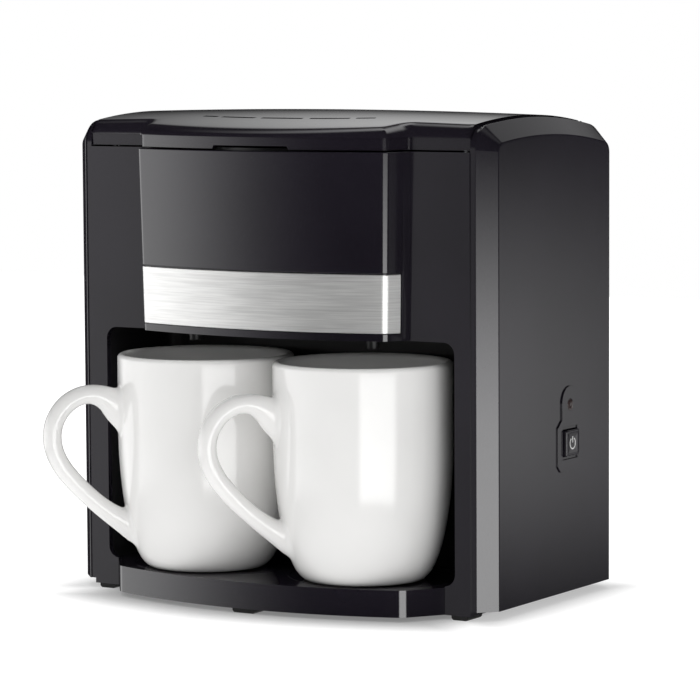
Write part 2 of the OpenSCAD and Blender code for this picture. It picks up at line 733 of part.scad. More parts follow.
vent_arc_y = 178.5;
vent_arc_r = 172;
vents = [[-38.6, 8.5], [-22.6, 18.3], [0, 20.4], [22.6, 18.3], [38.6, 8.5]];

module lid_hinge_pins() color([0.8, 0.8, 0.82]) in_frame() {
    both_sides() translate([0, hinge_y, hinge_z]) rod_x(pin_r, ear_x0 - 6.3, ear_x1 + 6.3);
}

// ---- Heater ----

// Round bar along the heater's U: legs along X, joined by a half-turn.
module heater_u(r, z, inlet_x, outlet_x) {
    translate([heater_bend_x, riser_y, z]) rod_x(r, 0, outlet_x - heater_bend_x);
    translate([heater_bend_x, riser_y + 2 * heater_bend_r, z]) rod_x(r, 0, inlet_x - heater_bend_x);
    translate([heater_bend_x, bend_y, z]) rotate([0, 0, 90])
        rotate_extrude(angle = 180) translate([heater_bend_r, 0]) circle(r = r);
}

heater_inlet_x = spout_x - elbow_r;
heater_outlet_x = -elbow_r;

module heating_element() color([0.7, 0.7, 0.72]) in_frame() {
    difference() {
        union() {
            heater_u(5, heater_z, heater_inlet_x - 9, heater_outlet_x - 9);
            heater_u(4 - fit, heater_z, heater_inlet_x, heater_outlet_x);
            heater_u(4, heater_z - 7.5, heater_inlet_x - 14, heater_outlet_x - 10);
        }
        translate([0, riser_y, heater_z]) rod_x(2.8, heater_bend_x + 1, heater_outlet_x + 1);
        translate([0, riser_y + 2 * heater_bend_r, heater_z])
            rod_x(2.8, heater_bend_x + 1, heater_inlet_x + 1);
    }
}

module heater_bracket() color([0.65, 0.66, 0.68]) in_frame() {
    z1 = heater_z - 7.5 - 4;
    difference() {
        union() {
            box([-58, 58, z1 - 1.5], [-18, 92, z1]);
            for (x = [-54, -22]) for (y = [61, 89]) translate([x, y, pan_z0 + pan_floor])
                cylinder(r = 3, h = z1 - pan_z0 - pan_floor - 1);
        }
        for (y = [riser_y + heater_bend_r - 3, riser_y + heater_bend_r + 3])
            translate([-50, y, z1 - 5]) cylinder(r = 1.6, h = 10);
    }
}

module heater_clamp() color([0.65, 0.66, 0.68]) in_frame() {
    box([-34, 57, heater_z + 5], [-26, 93, heater_z + 6.5]);
    for (y = [57, 91.5]) box([-34, y, heater_z - 11.5], [-26, y + 1.5, heater_z + 6]);
}

module heater_screws() color([0.75, 0.75, 0.77]) in_frame() {
    for (y = [riser_y + heater_bend_r - 3, riser_y + heater_bend_r + 3])
        translate([-50, y, heater_z - 11.5]) {
            cylinder(r = 2.6, h = 1.4);
            translate([0, 0, -3]) cylinder(r = 1.5, h = 3.1);
        }
}

module thermostat() color([0.75, 0.7, 0.6]) in_frame() {
    translate([-30, bend_y, heater_z - 11.5]) {
        cylinder(r = 6, h = 6);
        cylinder(r = 4.4, h = 11);
        for (x = [-3, 3]) translate([x - 0.4, -2, 10]) cube([0.8, 4, 6]);
    }
}

module thermal_fuse() color([0.85, 0.85, 0.8]) in_frame() {
    translate([-20, bend_y, heater_z + 6.5 + 2.2]) {
        rod_x(2.2, -22, 0);
        rod_x(0.6, -28, 8);
    }
}

// Silicone elbow from a heater leg up to z1, open right through.
module hose(x, y, z1) {
    translate([0, y, heater_z]) difference() {
        rod_x(6, x - elbow_r - 9, x - elbow_r);
        rod_x(4, x - elbow_r - 10, x - elbow_r + 1);
    }
    translate([x - elbow_r, y, heater_z + elbow_r]) rotate([90, 0, 0]) rotate([0, 0, -90])
        rotate_extrude(angle = 90) translate([elbow_r, 0]) difference() {
            circle(r = 6);
            circle(r = 4);
        }
    translate([x, y, heater_z + elbow_r]) difference() {
        cylinder(r = 6, h = z1 - heater_z - elbow_r);
        translate([0, 0, -1]) cylinder(r = 4, h = 80);
    }
}

module inlet_hose() color([0.85, 0.85, 0.87]) in_frame() {
    hose(spout_x, spout_y, 76);
}

module outlet_hose() color([0.85, 0.85, 0.87]) in_frame() {
    difference() {
        hose(0, riser_y, 70);
        translate([0, riser_y, 58 - fit]) cylinder(r = 4.5 + fit, h = 20);
    }
}

module check_valve() color([0.9, 0.9, 0.9]) in_frame() translate([spout_x, spout_y, 0]) {
    difference() {
        cylinder_between(4 - fit, 54, 62);
        cylinder_between(2, 53, 60);
        cylinder_between(1, 53, 63);
    }
}

module hose_clamps() color([0.8, 0.8, 0.82]) in_frame() {
    for (p = [[spout_x, spout_y, 69], [0, riser_y, 62]]) translate(p) difference() {
        cylinder(r = 7.2, h = 5);
        translate([0, 0, -1]) cylinder(r = 6 + fit, h = 7);
    }
    for (p = [[heater_inlet_x - 7, riser_y + 2 * heater_bend_r], [heater_outlet_x - 7, riser_y]])
        translate([p[0], p[1], heater_z]) difference() {
            rod_x(7.2, 0, 5);
            rod_x(6 + fit, -1, 6);
        }
}

// ---- Switch and inlet ----

module switch_plate() color([0.05, 0.05, 0.06]) in_frame() {
    plate_hw = 10.9;
    arch_r = 7.2;
    z0 = switch_z - 11.9;
    z1 = switch_z + 9.9;
    difference() {
        along_x(half_w, half_w + plate_t) union() {
            polygon([[switch_y - plate_hw, z0 + 2.5], [switch_y - plate_hw + 2.5, z0],
                     [switch_y + plate_hw - 2.5, z0], [switch_y + plate_hw, z0 + 2.5],
                     [switch_y + plate_hw, z1 - 3], [switch_y + plate_hw - 3.6, z1],
                     [switch_y - plate_hw + 3.6, z1], [switch_y - plate_hw, z1 - 3]]);
            translate([switch_y - arch_r, z1 - 1]) square([2 * arch_r, lamp_z + 0.7 - z1 + 1]);
            translate([switch_y, lamp_z + 0.7]) circle(r = arch_r);
        }
        box([half_w - 1, switch_y - 6.8, switch_z - 6.9], [half_w + 2, switch_y + 6.8, switch_z + 6.9]);
        translate([0, switch_y, lamp_z]) rod_x(2.5, half_w - 1, half_w + 2);
    }
}

module power_switch() color([0.15, 0.15, 0.16]) in_frame() {
    x1 = wall_x0 - 1.5;
    difference() {
        union() {
            box([x1 - 14, switch_y - 9, switch_z - 9], [x1, switch_y + 9, switch_z + 9]);
            box([x1 - 1.5, switch_y - 12, switch_z - 12], [wall_x0, switch_y - 9.6, switch_z + 12]);
            box([x1 - 1.5, switch_y + 9.6, switch_z - 12], [wall_x0, switch_y + 12, switch_z + 12]);
            box([x1 - 1.5, switch_y - 12, switch_z - 9], [x1, switch_y + 12, switch_z + 9]);
        }
    }
    for (z = [-5, 5]) box([x1 - 21, switch_y - 2.4, switch_z + z - 0.4],
                          [x1 - 13.9, switch_y + 2.4, switch_z + z + 0.4]);
}

module power_button() color([0.1, 0.1, 0.11]) in_frame() {
    x0 = wall_x0 + 0.4;
    box([x0, switch_y - button_w / 2, switch_z - button_h / 2],
        [half_w + button_out, switch_y + button_w / 2, switch_z + button_h / 2]);
    // flange that keeps it behind the panel
    box([x0, switch_y - button_w / 2 - 1.5, switch_z - button_h / 2 - 1.5],
        [x0 + 2, switch_y + button_w / 2 + 1.5, switch_z + button_h / 2 + 1.5]);
}

module indicator_lens() color([0.5, 0.12, 0.1]) in_frame() translate([0, switch_y, lamp_z]) {
    rod_x(2.45, wall_x1, half_w + plate_t);
    rod_x(2, half_w, half_w + 1.2);
}

// Open cord gland in the back cover.
module cord_grommet() color([0.04, 0.04, 0.04]) in_frame() translate([inlet_x, 0, inlet_z]) {
    rear = body_d - 1.5;
    difference() {
        union() {
            rod_y(6.15, rear - wall - 2, rear + 1.2);
            rod_y(8, rear, rear + 1.4);
            rod_y(7.4, rear - wall - 2.5, rear - wall);
        }
        rod_y(3.7, rear - 10, rear + 5);
    }
}

module back_screws() color([0.75, 0.75, 0.77]) in_frame() {
    rear = body_d - 1.5;
    for (p = back_screw_places) translate([p[0], 0, p[1]]) {
        difference() {
            rod_y(3, rear, rear + 1.3);
            box([-0.4, rear + 0.7, -2], [0.4, rear + 2, 2]);
            box([-2, rear + 0.7, -0.4], [2, rear + 2, 0.4]);
        }
        rod_y(1.6, rear - 9, rear + 0.1);
    }
}

// ---- Mugs ----

mug_base_r = 23.4;
mug_belly_h = 60;            // height at which the belly reaches full width
mug_wall = 3.6;

// Outer radius of the mug at height z: a quarter ellipse that runs into a straight wall.
function mug_radius(z) =
    z >= mug_belly_h ? mug_r
    : mug_base_r + (mug_r - mug_base_r) * sqrt(1 - pow(1 - z / mug_belly_h, 2));

// Centre line of the handle (distance from the mug's axis, height) and half height there.
handle_line = [
    [33.5, 66.5, 9.5], [38, 69, 8.4], [43, 72.6, 5.4], [48.5, 74.6, 4.2], [54.5, 74.2, 3.9],
    [60.3, 71, 3.9], [64.6, 65.6, 3.9], [66.6, 59, 3.9], [65.9, 51.5, 3.9], [62.6, 44.4, 3.9],
    [57.6, 38, 3.9], [51.6, 31.8, 3.9], [45, 26, 4.1], [38.5, 21.4, 4.8], [31.5, 17.2, 6.2]];
handle_half_w = 5.4;
handle_sides = 12;

function handle_dir(i) =
    let (a = handle_line[max(i - 1, 0)], b = handle_line[min(i + 1, len(handle_line) - 1)],
         d = [b[0] - a[0], b[1] - a[1]])
    d / norm(d);

function handle_ring(i) =
    let (p = handle_line[i], d = handle_dir(i), n = [d[1], -d[0]])
    [for (k = [0:handle_sides - 1]) let (a = 360 * k / handle_sides)
        [p[0] + n[0] * p[2] * cos(a), handle_half_w * sin(a), p[1] + n[1] * p[2] * cos(a)]];

module mug_handle() {
    last = len(handle_line) - 1;
    points = [for (i = [0:last]) each handle_ring(i)];
    skins = [for (i = [0:last - 1]) for (k = [0:handle_sides - 1])
        let (m = (k + 1) % handle_sides, a = i * handle_sides, b = a + handle_sides)
        [a + k, b + k, b + m, a + m]];
    start = [for (k = [0:handle_sides - 1]) k];
    end = [for (k = [handle_sides - 1:-1:0]) last * handle_sides + k];
    polyhedron(points, concat([start], skins, [end]));
}

module mug_body() {
    steps = 12;
    difference() {
        rotate_extrude($fn = 96) polygon(concat(
            [[0, 1.2], [mug_base_r - 3, 1.2], [mug_base_r - 2.4, 0], [mug_base_r, 0]],
            [for (i = [1:steps]) let (z = mug_belly_h * pow(i / steps, 1.6)) [mug_radius(z), z]],
            arc_pts(mug_r - mug_wall / 2, mug_h - mug_wall / 2, mug_wall / 2, 0, 90, 4),
            [[0, mug_h]]));
        mug_hollow();
    }
}

module mug_hollow() {
    steps = 10;
    floor_z = 5;
    rotate_extrude($fn = 96) polygon(concat(
        [[0, floor_z], [mug_base_r - 5, floor_z]],
        [for (i = [1:steps]) let (z = floor_z + (mug_belly_h - floor_z) * pow(i / steps, 1.6))
            [mug_radius(z) - mug_wall - 1.2 * (1 - i / steps), z]],
        arc_pts(mug_r - mug_wall / 2, mug_h - mug_wall / 2, mug_wall / 2, 180, 90, 4),
        [[0, mug_h + 1]]));
}

module mug() {
    difference() {
        union() {
            mug_body();
            mug_handle();
        }
        mug_hollow();
    }
}

module left_mug() color([0.93, 0.93, 0.91]) in_frame() {
    translate([-mug_x, mug_y, mug_z]) rotate([0, 0, 180 + handle_turn]) mug();
}

module right_mug() color([0.93, 0.93, 0.91]) in_frame() {
    translate([mug_x, mug_y, mug_z]) rotate([0, 0, 180 + handle_turn]) mug();
}

housing_shell();
bay_liner();
base_pan();
mug_tray();
feet();
left_side_panel();
right_side_panel();
back_cover();
inner_deck();
head_shell();
upper_front_panel();
steel_band();
brew_funnel();
filter_frame();
filter_mesh();
water_tank();
tank_seal();
riser_tube();
water_spreader();
lid();
lid_hinge_pins();
heating_element();
heater_bracket();
heater_clamp();
heater_screws();
thermostat();
thermal_fuse();
inlet_hose();
outlet_hose();
check_valve();
hose_clamps();
switch_plate();
power_switch();
power_button();
indicator_lens();
cord_grommet();
base_screws();
deck_screws();
back_screws();
left_mug();
right_mug();
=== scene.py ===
"""Looks of a two-mug drip coffee maker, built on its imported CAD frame.

Shapes are drawn in millimetres from the fascia plane, as in the CAD source, and set into the
row frame when a Sketch becomes an object. CAD nodes that need no new shape are welded,
bevelled copies; mugs, panels, trims, lid, button and wire cup are modelled here.
"""

import json
import logging
import math
from contextlib import contextmanager
from dataclasses import dataclass
from enum import Enum
from typing import Callable, Iterable, Iterator, Mapping, Sequence, Union

import bmesh
import bpy
import numpy as np
from mathutils import Matrix, Vector
from mathutils.geometry import delaunay_2d_cdt

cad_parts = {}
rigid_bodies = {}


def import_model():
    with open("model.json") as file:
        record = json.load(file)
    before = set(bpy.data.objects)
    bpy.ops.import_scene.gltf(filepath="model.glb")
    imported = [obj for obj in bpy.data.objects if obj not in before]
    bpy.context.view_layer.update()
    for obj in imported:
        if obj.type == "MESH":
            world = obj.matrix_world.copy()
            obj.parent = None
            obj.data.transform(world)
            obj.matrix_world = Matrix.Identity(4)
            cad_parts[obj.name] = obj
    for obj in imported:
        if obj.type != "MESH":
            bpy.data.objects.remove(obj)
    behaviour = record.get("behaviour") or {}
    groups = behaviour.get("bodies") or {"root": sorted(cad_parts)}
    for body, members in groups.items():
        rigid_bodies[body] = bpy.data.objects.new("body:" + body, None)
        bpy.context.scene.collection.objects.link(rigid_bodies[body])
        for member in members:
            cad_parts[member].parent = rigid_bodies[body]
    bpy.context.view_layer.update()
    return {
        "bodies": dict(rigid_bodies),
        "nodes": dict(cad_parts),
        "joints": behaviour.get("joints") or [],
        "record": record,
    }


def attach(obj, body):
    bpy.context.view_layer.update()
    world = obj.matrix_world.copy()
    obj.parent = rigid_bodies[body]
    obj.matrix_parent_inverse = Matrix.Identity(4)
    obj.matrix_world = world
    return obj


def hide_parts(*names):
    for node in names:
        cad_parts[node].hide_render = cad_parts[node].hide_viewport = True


logging.basicConfig(level=logging.INFO, format="%(message)s")
LOG = logging.getLogger("scene")

MM = 0.001
FASCIA_Y = -32.9

HALF_WIDTH = 102.85
CREST_DEPTH = 112.3
CROWN_R = 320.0
CROWN_Y = 47.0
CROWN_Z = 204.6 - CROWN_R
PANEL_BOTTOM = 4.0
PANEL_INNER_X = 96.0
BOW_R = 200.0
HEAD_TOP = 191.5
HEAD_FOOT = 114.3
HEAD_HALF = 65.5
SWITCH_Y = 68.0
SWITCH_Z = 67.3
MERGE = 2e-6
TOUCHING = 1e-7
SQUARE = ((-1, -1), (1, -1), (1, 1), (-1, 1))
FLAT_DEG = 0.4
ROUNDED_DEG = 40.0

Array = np.ndarray
Mesh = bpy.types.Mesh
Piece = bpy.types.Object
Colour = tuple[float, float, float]
Number = Union[float, "Value"]
Inputs = Mapping[Union[str, int], object]


class Axis(Enum):
    """Row axes, with their index in a coordinate."""

    X = 0
    Y = 1
    Z = 2


class NodeGraph:
    """A node tree that is filled by one method."""

    def __init__(self, tree: bpy.types.NodeTree) -> None:
        """Starts an empty graph."""
        self.tree = tree
        tree.nodes.clear()

    def node(self, kind: str, settings: Mapping[str, object] | None = None,
             inputs: Inputs | None = None) -> bpy.types.Node:
        """Creates any node, sets its settings, then its inputs.

        Args:
            kind: the node's type name.
            settings: attributes to set first.
            inputs: socket name or index to a constant, a socket or a Value.

        Returns:
            The new node.
        """
        made = self.tree.nodes.new(kind)
        for key, value in (settings or {}).items():
            setattr(made, key, value)
        for key, value in (inputs or {}).items():
            source = value.socket if isinstance(value, Value) else value
            if isinstance(source, bpy.types.NodeSocket):
                self.tree.links.new(source, made.inputs[key])
            else:
                made.inputs[key].default_value = source
        return made


class Value:
    """A socket that takes part in shader arithmetic."""

    def __init__(self, graph: "Graph", socket: bpy.types.NodeSocket) -> None:
        """Wraps a socket."""
        self.graph = graph
        self.socket = socket

    def __add__(self, other: Number) -> "Value":
        """The sum."""
        return self.graph.math("ADD", self, other)

    def __radd__(self, other: Number) -> "Value":
        """The sum, with a number first."""
        return self.graph.math("ADD", other, self)

    def __sub__(self, other: Number) -> "Value":
        """The difference."""
        return self.graph.math("SUBTRACT", self, other)

    def __rsub__(self, other: Number) -> "Value":
        """The difference, with a number first."""
        return self.graph.math("SUBTRACT", other, self)

    def __mul__(self, other: Number) -> "Value":
        """The product."""
        return self.graph.math("MULTIPLY", self, other)

    def ramp(self, low: float, high: float) -> "Value":
        """Smooth step from 0 at low to 1 at high."""
        return self.graph.value("ShaderNodeMapRange", {"interpolation_type": "SMOOTHSTEP"},
                                {"Value": self, "From Min": low, "From Max": high})


class Graph(NodeGraph):
    """Shader nodes of one material or world."""

    def value(self, kind: str, settings: Mapping[str, object] | None = None,
              inputs: Inputs | None = None, out: Union[int, str] = 0) -> Value:
        """Creates a node and wraps one of its outputs."""
        return Value(self, self.node(kind, settings, inputs).outputs[out])

    def math(self, operation: str, a: Number, b: Number = 0.0) -> Value:
        """One scalar operation."""
        return self.value("ShaderNodeMath", {"operation": operation}, {0: a, 1: b})

    def vector(self, operation: str, a: object, b: object) -> Value:
        """One vector operation."""
        return self.value("ShaderNodeVectorMath", {"operation": operation}, {0: a, 1: b})

    def mix(self, factor: Number, a: object, b: object) -> Value:
        """Mixes two colours."""
        return self.value("ShaderNodeMix", {"data_type": "RGBA"}, {0: factor, 6: a, 7: b}, 2)

    @property
    def coords(self) -> Value:
        """Object coordinates, in metres of the row frame at rest."""
        return self.value("ShaderNodeTexCoord", out="Object")

    def along(self, axis: Axis) -> Value:
        """One coordinate, in metres."""
        return self.value("ShaderNodeSeparateXYZ", None, {0: self.coords}, axis.value)

    def noise(self, scale: float, detail: float = 2.0, stretch: Sequence[float] = (1.0, 1.0, 1.0),
              shift: Sequence[float] = (0.0, 0.0, 0.0)) -> Value:
        """Noise in object space, about 0.5 on average.

        Args:
            scale: features per metre.
            detail: octaves.
            stretch: factor on each coordinate.
            shift: offset of the coordinates.

        Returns:
            The noise value.
        """
        place = self.vector("MULTIPLY", self.coords, tuple(stretch))
        place = self.vector("ADD", place, tuple(shift))
        return self.value("ShaderNodeTexNoise", None,
                          {"Vector": place, "Scale": scale, "Detail": detail})

    def bump(self, height: Value, distance: float, strength: float = 1.0) -> Value:
        """Surface relief."""
        return self.value("ShaderNodeBump", None,
                          {"Height": height, "Distance": distance, "Strength": strength})

    def principled(self, inputs: Inputs) -> Value:
        """A Principled surface."""
        return self.value("ShaderNodeBsdfPrincipled", None, inputs)

    def output(self, shader: Value, kind: str = "ShaderNodeOutputMaterial") -> None:
        """Ends the graph."""
        self.node(kind, None, {"Surface": shader})


def rgba(colour: Colour, factor: float = 1.0) -> tuple[float, float, float, float]:
    """A scaled colour with full alpha.

    Args:
        colour: linear red, green and blue.
        factor: what to multiply them by.

    Returns:
        The colour, none of it above 1, with alpha 1.
    """
    return (*(min(1.0, c * factor) for c in colour), 1.0)


def grey(level: float) -> tuple[float, float, float, float]:
    """A neutral colour, which may be brighter than 1.

    Args:
        level: its linear level.

    Returns:
        The colour with alpha 1.
    """
    return level, level, level, 1.0


def painted(name: str, paint: Callable[[Graph], Value]) -> bpy.types.Material:
    """Makes a material.

    Args:
        name: its name.
        paint: builds its surface shader.

    Returns:
        The material.
    """
    made = bpy.data.materials.new(name)
    made.use_nodes = True
    graph = Graph(made.node_tree)
    graph.output(paint(graph))
    return made


@dataclass(frozen=True)
class Finish:
    """A surface finish. Subclasses paint it."""

    name: str
    slot: str
    colour: Colour
    roughness: float

    def shade(self, graph: Graph, share: Value, dark: float, light: float) -> Value:
        """The colour, varied between two factors."""
        return graph.mix(share, rgba(self.colour, dark), rgba(self.colour, light))

    def paint(self, graph: Graph) -> Value:
        """Builds the surface shader."""
        raise NotImplementedError

    def material(self) -> bpy.types.Material:
        """The Blender material, made once.

        Returns:
            The material.
        """
        found = bpy.data.materials.get(self.name)
        if found is not None:
            return found
        LOG.info("finish %s", self.name)
        return painted(self.name, self.paint)


@dataclass(frozen=True)
class GlossPlastic(Finish):
    """High-gloss moulding with faint orange peel, haze and dust."""

    peel: float = 1.6e-6
    haze: float = 0.05

    def paint(self, graph: Graph) -> Value:
        """See Finish.paint."""
        broad = graph.noise(16.0, 3.0, shift=(3.1, 1.7, 0.4))
        wipe = graph.noise(60.0, 4.0, stretch=(1.0, 0.35, 1.0))
        dust = graph.noise(3800.0, 1.0).ramp(0.70, 0.76) * 0.12
        colour = self.shade(graph, broad.ramp(0.3, 0.7), 0.85, 1.2)
        return graph.principled({
            "Base Color": graph.mix(dust, colour, rgba((0.35, 0.34, 0.33))),
            "Roughness": self.roughness + (wipe - 0.5) * self.haze + dust, "IOR": 1.5,
            "Normal": graph.bump(graph.noise(420.0, 2.0), self.peel),
        })


@dataclass(frozen=True)
class BrushedMetal(Finish):
    """Metal with fine straight brush lines along X."""

    lines: float = 3200.0
    depth: float = 2.0e-6
    metal: float = 0.74

    def paint(self, graph: Graph) -> Value:
        """See Finish.paint."""
        fine = graph.noise(1.0, 3.0, stretch=(26.0, 26.0, self.lines))
        coarse = graph.noise(1.0, 2.0, stretch=(50.0, 50.0, self.lines / 2.4), shift=(5.0, 2.0, 9.0))
        cloud = graph.noise(14.0, 2.0)
        tone = fine * 0.4 + coarse * 0.6
        return graph.principled({
            "Base Color": self.shade(graph, tone.ramp(0.3, 0.7), 0.86, 1.1), "Metallic": self.metal,
            "Roughness": self.roughness + (fine - 0.5) * 0.16 + (cloud - 0.5) * 0.06,
            "Normal": graph.bump(tone, self.depth, 0.6),
        })


@dataclass(frozen=True)
class Glaze(Finish):
    """White glazed stoneware, bare and rougher on the foot ring."""

    bare: Colour = (0.62, 0.56, 0.48)
    foot_top: float = 13.45

    def paint(self, graph: Graph) -> Value:
        """See Finish.paint."""
        pool = graph.noise(30.0, 2.0)
        speck = graph.noise(1400.0, 1.0).ramp(0.76, 0.80)
        foot = 1.0 - graph.along(Axis.Z).ramp(self.foot_top * MM, (self.foot_top + 0.5) * MM)
        colour = self.shade(graph, pool.ramp(0.3, 0.7), 0.985, 1.01)
        colour = graph.mix(speck * 0.06, colour, rgba((0.55, 0.5, 0.42)))
        return graph.principled({
            "Base Color": graph.mix(foot, colour, rgba(self.bare)), "IOR": 1.42,
            "Roughness": self.roughness + (pool - 0.5) * 0.05 + foot * 0.5,
            "Normal": graph.bump(graph.noise(75.0, 2.0), 2.5e-5, 0.18),
        })


@dataclass(frozen=True)
class Mottle:
    """Patches of tone: their noise, the noise levels between which they fade, two colour factors."""

    scale: float
    detail: float
    low: float
    high: float
    dark: float
    light: float


@dataclass(frozen=True)
class Grain:
    """Fine grain: its noise, its share of the roughness, its depth in metres and its strength."""

    scale: float
    detail: float
    rough: float
    depth: float = 0.0
    strength: float = 0.0


@dataclass(frozen=True)
class Grained(Finish):
    """A mottled and grained finish. Subclasses say how."""

    mottle: Mottle
    grain: Grain
    haze: float = 0.0
    extra: tuple[tuple[str, float], ...] = ()

    def paint(self, graph: Graph) -> Value:
        """See Finish.paint."""
        patch, fine = self.mottle, self.grain
        tone = graph.noise(patch.scale, patch.detail).ramp(patch.low, patch.high)
        grain = graph.noise(fine.scale, fine.detail)
        inputs = {"Base Color": self.shade(graph, tone, patch.dark, patch.light),
                  "Roughness": self.roughness + (grain - 0.5) * fine.rough, **dict(self.extra)}
        if self.haze:
            inputs["Roughness"] += (graph.noise(24.0, 3.0) - 0.5) * self.haze
        if fine.strength:
            inputs["Normal"] = graph.bump(grain, fine.depth, fine.strength)
        return graph.principled(inputs)


@dataclass(frozen=True)
class TexturedPlastic(Grained):
    """Fine spark-eroded grain on a moulding."""

    mottle: Mottle = Mottle(2600.0, 3.0, 0.35, 0.65, 0.8, 1.25)
    grain: Grain = Grain(2600.0, 3.0, 0.1, 1.5e-5, 0.5)
    haze: float = 0.12
    extra: tuple[tuple[str, float], ...] = (("IOR", 1.48),)


@dataclass(frozen=True)
class PlainMetal(Grained):
    """Plated or drawn metal with light tool marks."""

    mottle: Mottle = Mottle(120.0, 2.0, 0.3, 0.7, 0.85, 1.08)
    grain: Grain = Grain(900.0, 3.0, 0.15, 6.0e-6, 0.4)
    extra: tuple[tuple[str, float], ...] = (("Metallic", 1.0),)


@dataclass(frozen=True)
class Rubber(Grained):
    """Matt rubber or silicone with a powdery bloom."""

    mottle: Mottle = Mottle(180.0, 4.0, 0.35, 0.75, 0.85, 1.3)
    grain: Grain = Grain(2400.0, 2.0, 0.15, 1.2e-5, 0.5)
    extra: tuple[tuple[str, float], ...] = (("IOR", 1.45),)


@dataclass(frozen=True)
class Lens(Grained):
    """Dark translucent lamp lens."""

    mottle: Mottle = Mottle(900.0, 2.0, 0.3, 0.7, 0.7, 1.4)
    grain: Grain = Grain(900.0, 2.0, 0.06)
    extra: tuple[tuple[str, float], ...] = (("Transmission Weight", 0.25), ("IOR", 1.5))


@dataclass(frozen=True)
class Print(Grained):
    """Pad-printed ink, slightly uneven."""

    mottle: Mottle = Mottle(2200.0, 3.0, 0.35, 0.65, 0.9, 1.05)
    grain: Grain = Grain(2200.0, 3.0, 0.1, 8.0e-6, 0.4)


GLOSS = GlossPlastic("gloss_black", "black_gloss", (0.0115, 0.0098, 0.0145), 0.09)
LID_GLOSS = GlossPlastic("gloss_black_lid", "black_gloss", (0.0115, 0.0095, 0.0145), 0.12)
SATIN = TexturedPlastic("satin_black", "black_satin", (0.012, 0.012, 0.013), 0.42)
SMOKE = TexturedPlastic("smoke_grey", "smoke_plastic", (0.06, 0.06, 0.065), 0.35)
STEEL = BrushedMetal("band_steel", "brushed_steel", (0.78, 0.78, 0.77), 0.44)
PLATED = PlainMetal("bright_plating", "plated_steel", (0.62, 0.62, 0.64), 0.28)
DRAWN = PlainMetal("drawn_aluminium", "heater_aluminium", (0.66, 0.66, 0.68), 0.38)
GOLD = PlainMetal("gold_wire", "gold_mesh", (0.72, 0.53, 0.22), 0.3)
WHITE_GLAZE = Glaze("mug_glaze", "white_glaze", (0.87, 0.865, 0.853), 0.11)
FOOT_RUBBER = Rubber("matt_rubber", "foot_rubber", (0.014, 0.014, 0.014), 0.7)
SILICONE = Rubber("clear_silicone", "silicone", (0.62, 0.62, 0.6), 0.45)
NATURAL = TexturedPlastic("natural_plastic", "white_plastic", (0.72, 0.71, 0.68), 0.4)
CREAM = TexturedPlastic("cream_ceramic", "ceramic_cream", (0.62, 0.57, 0.48), 0.6)
RED_LENS = Lens("lamp_lens", "red_lens", (0.05, 0.034, 0.033), 0.15)
WHITE_PRINT = Print("white_print", "black_satin", (0.75, 0.75, 0.74), 0.5)


class Sketch:
    """Collects points, in millimetres from the fascia plane, and faces."""

    def __init__(self) -> None:
        """Starts an empty sketch."""
        self.points: list[Array] = []
        self.faces: list[list[int]] = []
        self.count = 0

    def add(self, points: Array) -> int:
        """Adds points.

        Args:
            points: an (n, 3) array.

        Returns:
            The index of the first one.
        """
        first = self.count
        self.points.append(np.asarray(points, float).reshape(-1, 3))
        self.count += len(self.points[-1])
        return first

    def grid(self, rows: Array, close_rows: bool = False, close_columns: bool = False,
             flip: bool = False, caps: bool = False) -> "Sketch":
        """Adds a sheet of quads.

        Args:
            rows: an (rows, columns, 3) array.
            close_rows: join the last row to the first.
            close_columns: join the last column to the first.
            flip: turn the faces over.
            caps: close the first and the last row with a face.

        Returns:
            The sketch itself.
        """
        u, v = rows.shape[:2]
        first = self.add(rows)
        for i in range(u if close_rows else u - 1):
            for j in range(v if close_columns else v - 1):
                a, b = first + i * v, first + ((i + 1) % u) * v
                k = (j + 1) % v
                face = [a + j, a + k, b + k, b + j]
                self.faces.append(face[::-1] if flip else face)
        for row in (0, u - 1) if caps else ():
            self.face(range(first + row * v, first + (row + 1) * v))
        return self

    def face(self, loop: Iterable[int]) -> None:
        """Adds one face."""
        self.faces.append(list(loop))

    def build(self, name: str, finish: Finish, smooth_deg: float = 35.0,
              level: bool = False) -> Piece:
        """Makes the object, in metres in the row frame.

        Args:
            name: the object's name.
            finish: its finish.
            smooth_deg: edges sharper than this stay sharp.
            level: keep the shading of large flat faces level.

        Returns:
            The object.
        """
        points = (np.concatenate(self.points) + (0.0, FASCIA_Y, 0.0)) * MM
        mesh = bpy.data.meshes.new(name)
        mesh.from_pydata(points.tolist(), [], self.faces)
        return Workshop.place(name, mesh, finish, smooth_deg, level)


@contextmanager
def editing(mesh: Mesh) -> Iterator[bmesh.types.BMesh]:
    """Opens a mesh for editing and writes it back.

    Args:
        mesh: the mesh.

    Returns:
        A context that gives its editable form.
    """
    work = bmesh.new()
    work.from_mesh(mesh)
    yield work
    work.to_mesh(mesh)
    work.free()


